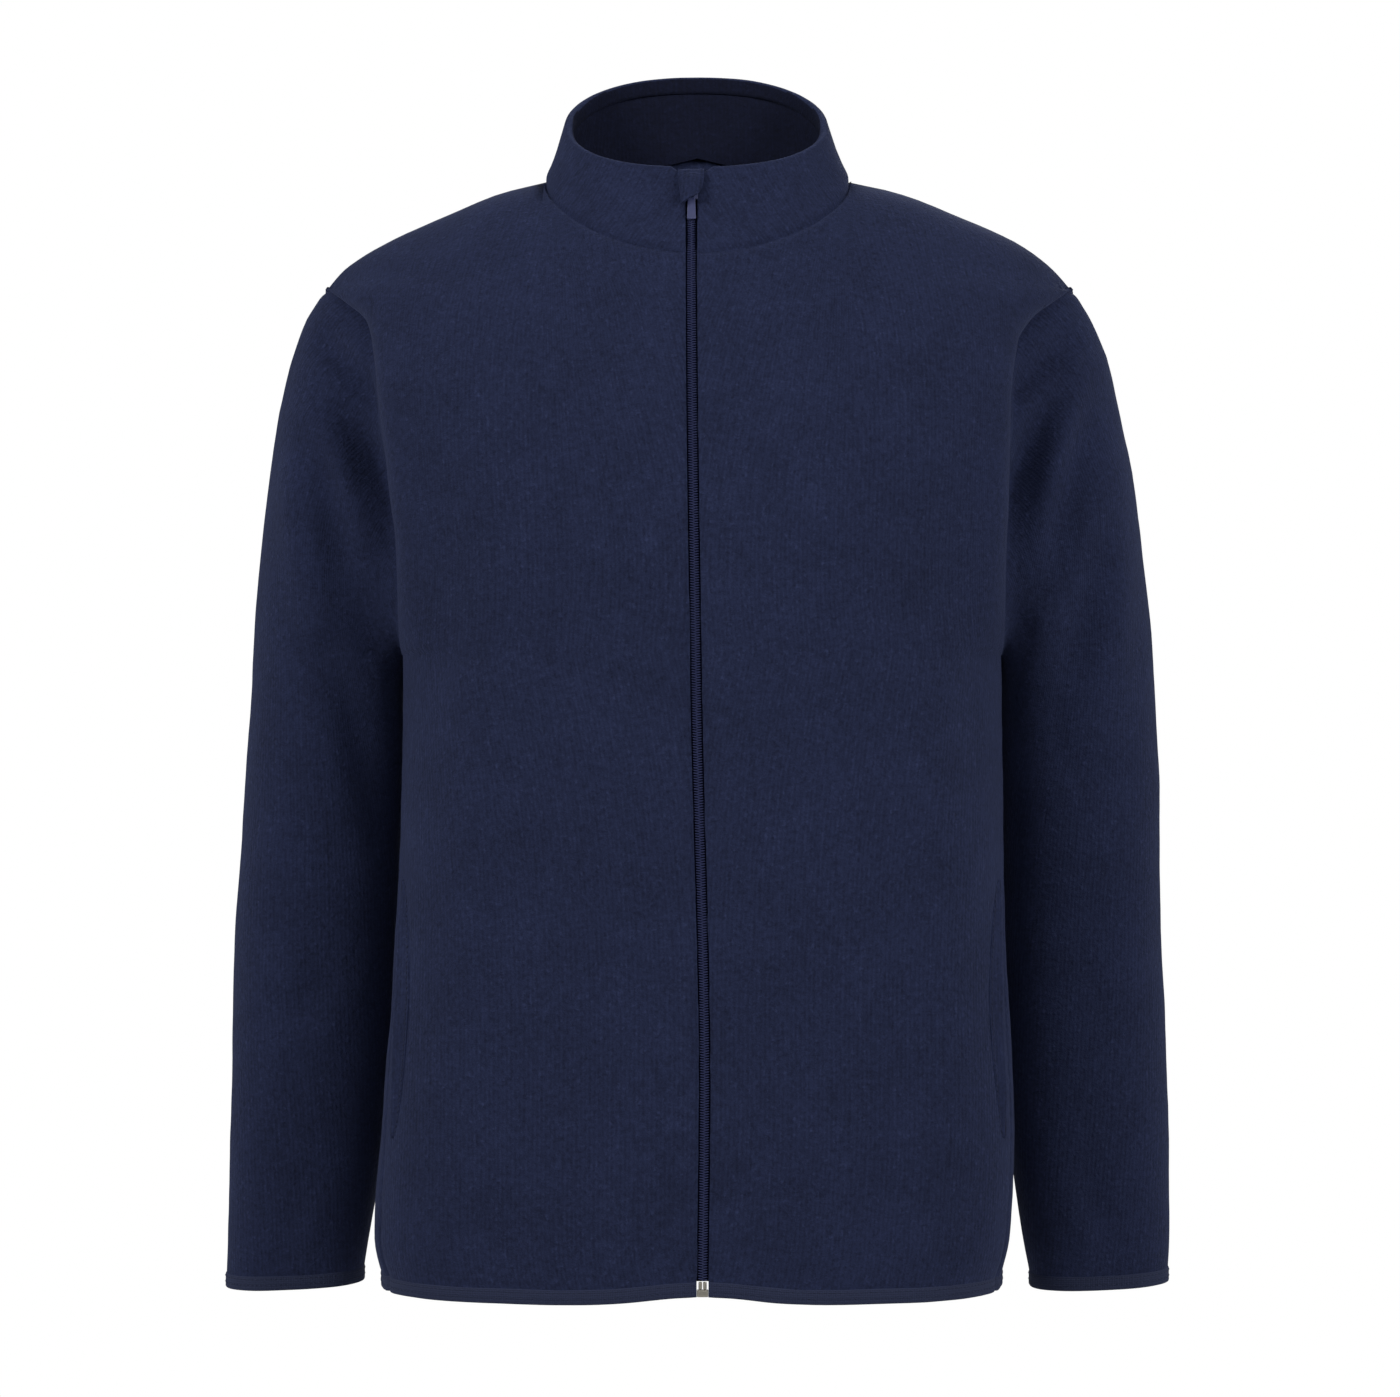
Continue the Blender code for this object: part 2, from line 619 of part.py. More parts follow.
def sweep(name, sections, finish):
    """A solid through sections that have the same number of points."""
    bm = bmesh.new()
    face = bm.faces.new([bm.verts.new(point) for point in sections[0]])
    number = numbered(bm, sections[0])
    for section in sections[1:]:
        made = bmesh.ops.extrude_face_region(bm, geom=[face, *face.edges, *face.verts])["geom"]
        for item in made:
            if isinstance(item, bmesh.types.BMVert):
                item.co = section[item[number]]
            elif isinstance(item, bmesh.types.BMFace):
                face = item
    return place_object(name, bm, finish)


def body_pieces():
    """The fronts and the back, each [column][row], with the back running from right to left."""
    core = np.array([0, -0.01, -0.35])
    back = np.concatenate([body_columns(RIGHT, 1)[::-1], body_columns(LEFT, 1)[1:]])
    pieces = {"back": Piece("back", back, core)}
    for word, side in SIDES.items():
        pieces["front_" + word] = Piece("front_" + word, body_columns(side, -1), core)
    return pieces


def sleeve_pieces():
    pieces = {}
    for word, side in SIDES.items():
        points = sleeve_grid(side)
        core = points[:-1].mean(axis=0)
        plain = Piece("sleeve_" + word, points, core, closed=True)
        points = press_folds(points, plain.directions, side)
        pieces["sleeve_" + word] = Piece("sleeve_" + word, points, core, closed=True)
    return pieces


def collar_pieces():
    points = collar_grid()
    axis = np.array([0, COLLAR_MIDDLE, 0.02])
    collar = Piece("collar", points, axis)
    foot, rim, up, out = collar_frame()
    outside = np.concatenate(
        [np.repeat(out[:, None], COLLAR_ROWS + 1, axis=1)]
        + [fold_way(out, up, i)[:, None] for i in range(1, FOLD_STEPS + 1)]
        + [-out[:, None]],
        axis=1,
    )
    collar.directions = outside
    facing = Piece("collar_facing", facing_grid(), axis)
    facing.directions = -np.repeat(out[:, None], COLLAR_ROWS + 1, axis=1)
    return {"collar": collar, "collar_facing": facing}


def fold_way(out, up, step):
    """The way out of the turned edge, from outwards through up to inwards."""
    turn = math.pi * step / FOLD_STEPS
    return out * math.cos(turn) + up * math.sin(turn)


def binding_strip(name, edge, directions, drop, finish, closed=False):
    """A bound edge that goes on down from a piece's edge, a little thicker than the cloth."""
    proud = (BINDING_WALL - WALL) / 2
    below = edge + drop
    outer = np.stack([below, edge + drop * SEAM_GAP / BINDING_DEPTH], axis=1)
    ways = np.stack([directions, directions], axis=1)
    outer = outer + ways * proud
    return cloth(name, outer, outer - ways * BINDING_WALL, finish, closed)


def hem_binding(pieces, finish):
    order = [("front_right", slice(None)), ("back", slice(1, None)), ("front_left", slice(-2, None, -1))]
    edge = np.concatenate([pieces[name].points[part, 0] for name, part in order])
    ways = np.concatenate([pieces[name].directions[part, 0] for name, part in order])
    drop = np.array([0, 0, -BINDING_DEPTH])
    edge[0, 0] -= HEM_CORNER
    edge[-1, 0] += HEM_CORNER
    return binding_strip("hem_binding", edge, ways, drop, finish)


def cuff_binding(piece, finish):
    edge, ways = piece.points[:, -1], piece.directions[:, -1]
    drop = np.array([0, 0, -BINDING_DEPTH])
    word = piece.name.split("_")[1]
    return binding_strip("cuff_binding_" + word, edge, ways, drop, finish, closed=True)


def front_line(pieces):
    """The zip's line on the outer face of the fronts and collar, as points (y, z) and the way out of each."""
    body = pieces["front_right"].points[0, :, 1:]
    collar = pieces["collar"].points[0, 1 : COLLAR_ROWS + 1, 1:]
    line = np.concatenate([body[:-1], (body[-1:] + pieces["collar"].points[0, :1, 1:]) / 2, collar])
    heights = line[:, 1]
    inside = (heights > ZIP_FOOT) & (heights < ZIP_HEAD)
    ends = [[np.interp(z, heights, line[:, 0]), z] for z in (ZIP_FOOT, ZIP_HEAD)]
    line = np.concatenate([ends[:1], line[inside], ends[1:]])
    along_line = unit(np.gradient(line, axis=0))
    return line, np.stack([-along_line[:, 1], along_line[:, 0]], axis=-1)


def zip_half(word, side, line, ways, finish):
    """One side of the zip: the strip of coil between the fronts, and its tape behind the cloth."""
    middle, edge = COIL_CLEAR / 2, TAPE_WIDTH
    outline = [
        (middle, -ZIP_SINK), (COIL_HALF, -ZIP_SINK), (COIL_HALF, -TAPE_FRONT),
        (edge, -TAPE_FRONT), (edge, -TAPE_BACK), (middle, -TAPE_BACK),
    ]
    sections = []
    for (y, z), (way_y, way_z) in zip(line, ways):
        sections.append([(zip_x(z) + side * x, y + way_y * n, z + way_z * n) for x, n in outline])
    return sweep("zip_" + word, sections, finish)


def slider_frame(pieces):
    """(middle of the slider's top on the cloth's face, the way down the zip, the way out of it)."""
    foot, rim = pieces["collar"].points[0, 0], pieces["collar"].points[0, COLLAR_ROWS]
    down = unit((foot - rim) * (0, 1, 1))
    part = (rim[2] - SLIDER_TOP) / (rim[2] - foot[2])
    top = rim + (foot - rim) * part
    return np.array([zip_x(SLIDER_TOP), top[1], top[2]]), down, np.array([0, down[2], -down[1]])


def bar(profile, half_width, frame):
    """A mesh of a profile of (down, out) points in the slider's frame, drawn across by its width."""
    top, down, out = frame
    bm = bmesh.new()
    points = [top + down * d + out * o - np.array([half_width, 0, 0]) for d, o in profile]
    bm.faces.new([bm.verts.new(point) for point in points])
    made = bmesh.ops.extrude_face_region(bm, geom=bm.faces[:])["geom"]
    moved = [item for item in made if isinstance(item, bmesh.types.BMVert)]
    bmesh.ops.translate(bm, verts=moved, vec=(2 * half_width, 0, 0))
    return bm


def slider(frame, finish):
    """Front and back plates joined at the top, with a bridge on the front that carries the pull."""
    front, back = PLATE_CLEAR, -TAPE_BACK - PLATE_CLEAR
    face = front + SLIDER_THICK
    plates = [
        (0, face), (SLIDER_LENGTH, face), (SLIDER_LENGTH, front), (SLIDER_THICK, front),
        (SLIDER_THICK, back), (SLIDER_LENGTH, back),
        (SLIDER_LENGTH, back - PLATE_BACK), (0, back - PLATE_BACK),
    ]
    body = place_object("zip_slider", bar(plates, SLIDER_WIDTH / 2, frame), finish)
    reach = PULL_PIN_DROP + BRIDGE_ROOM
    start = PULL_PIN_DROP - BRIDGE_ROOM
    roof = face + 2 * BRIDGE_ROOM
    bridge = [
        (start - BRIDGE_WALL, face - BRIDGE_WALL), (start - BRIDGE_WALL, roof + BRIDGE_WALL),
        (reach + BRIDGE_WALL, roof + BRIDGE_WALL), (reach + BRIDGE_WALL, face - BRIDGE_WALL),
        (reach, face - BRIDGE_WALL), (reach, roof), (start, roof), (start, face - BRIDGE_WALL),
    ]
    arch = place_object("slider_bridge", bar(bridge, BRIDGE_HALF, frame), finish)
    arch.hide_render = True
    arch.display_type = "WIRE"
    join = body.modifiers.new("bridge", "BOOLEAN")
    join.operation = "UNION"
    join.object = arch
    return body


def pull_tab(frame, finish):
    """A tab whose eye hangs on the bridge.  Its origin is on the bar of the eye."""
    top, down, out = frame
    axis = top + down * PULL_PIN_DROP + out * (PLATE_CLEAR + SLIDER_THICK + BRIDGE_ROOM)
    lean = math.radians(PULL_LEAN)
    hang = down * math.cos(lean) - out * math.sin(lean)
    face = out * math.cos(lean) + down * math.sin(lean)
    bm = bmesh.new()
    half = PULL_THICK / 2
    outline = [
        (-PULL_NARROW / 2, -half), (-PULL_NARROW / 2, EYE_LENGTH), (-PULL_WIDE / 2, PULL_LENGTH),
        (PULL_WIDE / 2, PULL_LENGTH), (PULL_NARROW / 2, EYE_LENGTH), (PULL_NARROW / 2, -half),
    ]
    bm.faces.new([bm.verts.new(axis + np.array([x, 0, 0]) + hang * d - face * half) for x, d in outline])
    made = bmesh.ops.extrude_face_region(bm, geom=bm.faces[:])["geom"]
    moved = [item for item in made if isinstance(item, bmesh.types.BMVert)]
    bmesh.ops.translate(bm, verts=moved, vec=face * PULL_THICK)
    tab = place_object("pull_tab", bm, finish, at=axis)
    hole = bmesh.new()
    bmesh.ops.create_cube(hole, size=1)
    for vert in hole.verts:
        x, across, d = vert.co
        reach = half + (d + 0.5) * (EYE_LENGTH - half)
        vert.co = axis + np.array([x * 2 * EYE_HALF, 0, 0]) + hang * reach + face * across * 3 * PULL_THICK
    cutter = place_object("pull_eye", hole, finish)
    cutter.hide_render = True
    cutter.display_type = "WIRE"
    cut = tab.modifiers.new("eye", "BOOLEAN")
    cut.operation = "DIFFERENCE"
    cut.object = cutter
    return tab


def guard(pieces):
    """The flap over the top of the zip: up inside the collar, over its turned edge and down to its tip."""
    collar = pieces["collar"].points
    rim = collar[0, COLLAR_ROWS]
    top = np.array([zip_x(0), rim[1], rim[2]])
    down, out = slider_frame(pieces)[1:]
    away = (collar[1, COLLAR_ROWS] - rim) @ np.array([1, 0, 0])
    recede = ((rim - collar[1, COLLAR_ROWS]) @ out) / abs(away)
    grid, ways = [], []
    for i in range(GUARD_COLUMNS + 1):
        column, facing = [], []
        for row in GUARD:
            x = -row.right + (row.right + row.left) * i / GUARD_COLUMNS
            turn = math.radians(row.turn)
            way = out * math.cos(turn) - down * math.sin(turn)
            crown = row.bulge * GUARD_BULGE * (1 - (x / GUARD_REACH) ** 2)
            reach = COLLAR_FOLD + GUARD_CLEAR + GUARD_THICK + crown
            drop = row.down + (GUARD_TIP_FALL * (1 - i / GUARD_COLUMNS) if row.tip else 0)
            back = COLLAR_FOLD + recede * max(abs(x) - ZIP_OPENING, 0)
            column.append(top + np.array([x, 0, 0]) + down * drop - out * back + way * reach)
            facing.append(way)
        grid.append(column)
        ways.append(facing)
    piece = Piece("zip_guard", np.array(grid), top)
    piece.directions = np.array(ways)
    return piece


def welt(word, side, finish):
    """The long narrow lens of cloth along a pocket's mouth, on the front beside the side seam."""
    outer, inner = [], []
    for i in range(WELT_ROWS + 1):
        part = i / WELT_ROWS
        z = POCKET_TOP + (POCKET_END - POCKET_TOP) * part
        width = WELT_END + (WELT_WIDTH - WELT_END) * math.sin(math.pi * part) ** 0.8
        seam = 90 - along(TRUNK, "seam_turn", z) * SEAM_SHARE
        outer_row, inner_row = [], []
        for j in range(WELT_COLUMNS + 1):
            turn = seam - WELT_INSET - width * TURN_PER_METRE * j / WELT_COLUMNS
            point = trunk_point(side, turn, z)
            along_seam = trunk_point(side, turn, z + 0.01) - trunk_point(side, turn, z - 0.01)
            way = unit(np.cross(trunk_point(side, turn + 1, z) - trunk_point(side, turn - 1, z), along_seam))
            way = way if way[0] * side > 0 else -way
            inner_row.append(point + way * SEAM_GAP)
            outer_row.append(point + way * (SEAM_GAP + WELT_THICK))
        outer.append(outer_row)
        inner.append(inner_row)
    return cloth("pocket_welt_" + word, np.array(outer), np.array(inner), finish)


def pocket_bag(piece, finish):
    """The pocket's inner layer, from the front's own points, moved in."""
    part = (slice(BAG_FIRST_COLUMN, -1), slice(BAG_FIRST_ROW, BAG_LAST_ROW + 1))
    points, ways = piece.points[part], piece.directions[part]
    stretch = piece.stretch[part][..., None]
    outer = points - ways * stretch * (WALL + SEAM_GAP)
    inner = points - ways * stretch * (WALL + SEAM_GAP + BAG_WALL)
    word = piece.name.split("_")[1]
    return cloth("pocket_bag_" + word, outer, inner, finish)


def block(name, middle, size, finish):
    """A small metal piece with eased edges."""
    bm = bmesh.new()
    bmesh.ops.create_cube(bm, size=1)
    bmesh.ops.scale(bm, verts=bm.verts, vec=size)
    bmesh.ops.bevel(
        bm, geom=bm.edges[:], offset=METAL_EASE, offset_type="OFFSET", segments=1,
        profile=0.5, affect="EDGES", material=-1,
    )
    bmesh.ops.translate(bm, verts=bm.verts, vec=middle)
    return place_object(name, bm, finish)


def zip_foot(line, ways, finish):
    """The box that holds the ends of the two coils, with the post of one and the pin of the other in it."""
    y, x = line[0][0] + BOX_THICK / 2, zip_x(ZIP_FOOT)
    box_top = ZIP_FOOT - PIN_HEIGHT - SEAM_GAP
    middle = np.array([x, y, box_top - BOX_HEIGHT / 2])
    block("zip_box", middle, (BOX_WIDTH, BOX_THICK, BOX_HEIGHT), finish)
    for name, side in (("zip_pin", RIGHT), ("zip_post", LEFT)):
        place = np.array([x + side * PIN_OUT, y, ZIP_FOOT - SEAM_GAP / 2 - PIN_HEIGHT / 2])
        block(name, place, (PIN_WIDTH, PIN_THICK, PIN_HEIGHT), finish)


def main():
    for old in list(bpy.data.objects):
        bpy.data.objects.remove(old, do_unlink=True)
    fleece = material("fleece", FLEECE, 0.95)
    lining = material("fleece_inside", FLEECE_INSIDE, 0.95)
    bound = material("binding", BINDING, 0.85)
    tape = material("zip_tape", TAPE, 0.6)
    paint = material("pull_paint", PULL_PAINT, 0.4, 0.3)
    nickel = material("nickel", NICKEL, 0.35, 1.0)

    pieces = {**body_pieces(), **sleeve_pieces(), **collar_pieces()}
    sew([piece for name, piece in pieces.items() if name != "collar_facing"])
    for piece in pieces.values():
        piece.draw_back(SEAM_GAP / 2 + EXTRA_GAP.get(piece.name, 0))
    for piece in pieces.values():
        finish = lining if piece.name == "collar_facing" else fleece
        cloth(piece.name, piece.points, piece.inside(WALL), finish, piece.closed)

    hem_binding(pieces, bound)
    for word, side in SIDES.items():
        cuff_binding(pieces["sleeve_" + word], bound)
        welt(word, side, fleece)
        pocket_bag(pieces["front_" + word], lining)
    line, ways = front_line(pieces)
    for word, side in SIDES.items():
        zip_half(word, side, line, ways, tape)
    frame = slider_frame(pieces)
    slider(frame, paint)
    pull_tab(frame, paint)
    flap = guard(pieces)
    cloth("zip_guard", flap.points, flap.inside(GUARD_THICK), fleece)
    zip_foot(line, ways, nickel)

    hold = bpy.data.objects.new("wearer_hold", None)
    bpy.context.scene.collection.objects.link(hold)
    for piece in list(bpy.data.objects):
        if piece is not hold:
            piece.parent = hold


main()
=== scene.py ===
"""A fleece jacket with a full-length zip, filled out as it is worn.

The cloth is cut in the same pieces as the solids.  Each piece is one fine grid on the garment's outer
face, laid out by the same cut tables, then creased, rolled in at its seams and given its wall.
"""

import math
from collections import namedtuple

import bmesh
import bpy
import numpy as np
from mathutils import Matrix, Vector, noise


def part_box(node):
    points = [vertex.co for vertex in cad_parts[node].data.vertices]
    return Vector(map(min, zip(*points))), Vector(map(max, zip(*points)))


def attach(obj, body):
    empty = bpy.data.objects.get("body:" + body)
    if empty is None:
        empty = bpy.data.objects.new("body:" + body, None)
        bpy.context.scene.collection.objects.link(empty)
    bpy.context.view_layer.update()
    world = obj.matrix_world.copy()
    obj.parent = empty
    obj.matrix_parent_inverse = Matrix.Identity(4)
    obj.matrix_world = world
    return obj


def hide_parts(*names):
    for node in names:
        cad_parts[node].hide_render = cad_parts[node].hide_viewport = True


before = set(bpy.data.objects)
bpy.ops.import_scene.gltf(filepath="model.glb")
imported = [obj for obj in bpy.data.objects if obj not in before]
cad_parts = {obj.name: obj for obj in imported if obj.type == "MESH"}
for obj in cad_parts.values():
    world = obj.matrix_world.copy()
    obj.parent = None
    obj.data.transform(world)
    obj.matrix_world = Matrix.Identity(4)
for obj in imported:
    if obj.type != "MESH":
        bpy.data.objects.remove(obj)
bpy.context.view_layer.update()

WALL = 0.0022
BINDING_DEPTH = 0.0080
RIGHT, LEFT = -1, 1
SIDES = {"right": RIGHT, "left": LEFT}
FRONT, BACK = -1, 1

NECK_HALF = 0.098
FRONT_NECK_DROP = 0.0563
BACK_NECK_LEG = 0.49
NECK_SQUARENESS = 1.85
UNDERARM = -0.305
SHOULDER_POINT = -0.069
HEM = -0.7015
HEM_RISE_AT_ZIP = 0.005
RIDGE_Y = 0.008
FRONT_DEPTH, BACK_DEPTH = 0.143, 0.112
FRONT_CROWN, BACK_CROWN = 2.3, 3.0
CHEST_SQUARENESS, BACK_SQUARENESS = 2.6, 2.3
ARMHOLE_HALF_DEPTH = 0.064
ARMHOLE_SQUARENESS = 2.2
SLEEVE_SQUARENESS = 2.3
CUFF_SLANT = 0.045
COLLAR_WIDTH = {RIGHT: 0.0855, LEFT: 0.0840}
COLLAR_FRONT, COLLAR_BACK, COLLAR_MIDDLE = -0.080, 0.070, -0.005
COLLAR_FRONT_TOP, COLLAR_BACK_TOP = -0.0020, 0.0749
COLLAR_FOLD = 0.0032
COLLAR_SQUARENESS = 2.2
COLLAR_LEG = 0.0090
FACING_FOOT = 0.0080
COLLAR_EDGE_EASE = 0.004
ZIP_OPENING = 0.0036
ZIP_FOOT, ZIP_HEAD = -0.6868, -0.0165

# Heights below the underarm: half widths, depths from the middle, the y of the broadest point, and how
# many degrees the side seam lies in front of it.
Trunk = namedtuple("Trunk", "height right left front back widest seam_turn squareness")
TRUNK = (
    Trunk(-0.7015, 0.1965, 0.1900, 0.1460, 0.121, -0.030, 28, 3.2),
    Trunk(-0.6700, 0.2036, 0.1980, 0.1465, 0.121, -0.030, 26, 3.2),
    Trunk(-0.6100, 0.2005, 0.2008, 0.1465, 0.119, -0.030, 24, 3.1),
    Trunk(-0.5120, 0.1935, 0.1960, 0.1460, 0.116, -0.030, 20, 2.9),
    Trunk(-0.4350, 0.1890, 0.1940, 0.1455, 0.114, -0.029, 15, 2.8),
    Trunk(-0.3500, 0.1870, 0.1935, 0.1440, 0.112, -0.020, 6, 2.7),
    Trunk(-0.3050, 0.1880, 0.1940, 0.1430, 0.112, -0.012, 0, 2.6),
)
Armhole = namedtuple("Armhole", "height right left")
ARMHOLE = (
    Armhole(-0.305, 0.1880, 0.1940),
    Armhole(-0.245, 0.1885, 0.1935),
    Armhole(-0.195, 0.1935, 0.1950),
    Armhole(-0.142, 0.2005, 0.1965),
    Armhole(-0.108, 0.2050, 0.2015),
    Armhole(-0.092, 0.2100, 0.2115),
    Armhole(-0.080, 0.2240, 0.2265),
    Armhole(-0.069, 0.2400, 0.2420),
)
Ridge = namedtuple("Ridge", "out right left")
RIDGE = (
    Ridge(0.000, 0.0280, 0.0280),
    Ridge(0.098, 0.0000, 0.0000),
    Ridge(0.125, -0.0065, -0.0055),
    Ridge(0.165, -0.0227, -0.0205),
    Ridge(0.200, -0.0390, -0.0357),
    Ridge(0.225, -0.0538, -0.0523),
    Ridge(0.240, -0.0690, -0.0670),
    Ridge(0.242, -0.0710, -0.0690),
)
Sleeve = namedtuple("Sleeve", "ring outer_z inner_z outer_right outer_left inner_right inner_left front back")
SLEEVE = (
    Sleeve(0, -0.069, -0.305, 0.2400, 0.2420, 0.1880, 0.1940, -0.066, 0.062),
    Sleeve(1, -0.088, -0.311, 0.2530, 0.2545, 0.1880, 0.1944, -0.060, 0.072),
    Sleeve(2, -0.115, -0.319, 0.2630, 0.2655, 0.1876, 0.1938, -0.055, 0.080),
    Sleeve(3, -0.155, -0.331, 0.2720, 0.2750, 0.1884, 0.1942, -0.049, 0.085),
    Sleeve(4, -0.205, -0.347, 0.2795, 0.2845, 0.1880, 0.1938, -0.043, 0.087),
    Sleeve(5, -0.265, -0.371, 0.2855, 0.2925, 0.1880, 0.1938, -0.038, 0.088),
    Sleeve(6, -0.335, -0.405, 0.2905, 0.2975, 0.1885, 0.1950, -0.034, 0.088),
    Sleeve(7, -0.410, -0.451, 0.2955, 0.3005, 0.1900, 0.1955, -0.030, 0.087),
    Sleeve(8, -0.490, -0.508, 0.3005, 0.3025, 0.1925, 0.1965, -0.026, 0.084),
    Sleeve(9, -0.560, -0.566, 0.3030, 0.3050, 0.1975, 0.1985, -0.020, 0.080),
    Sleeve(10, -0.625, -0.627, 0.3050, 0.3075, 0.2050, 0.2045, -0.012, 0.074),
    Sleeve(11, -0.670, -0.671, 0.3060, 0.3077, 0.2125, 0.2105, -0.008, 0.070),
    Sleeve(12, -0.7055, -0.7055, 0.3072, 0.3065, 0.2180, 0.2170, -0.005, 0.066),
)
Pull = namedtuple("Pull", "ring share")
SEAM_PULL = (Pull(0, 1.0), Pull(1, 0.52), Pull(2, 0.20), Pull(3, 0.05), Pull(4, 0.0))
Drift = namedtuple("Drift", "height x")
ZIP_LINE = (
    Drift(-0.702, 0.0030),
    Drift(-0.565, 0.0044),
    Drift(-0.330, -0.0006),
    Drift(-0.055, -0.0037),
    Drift(0.010, -0.0037),
)

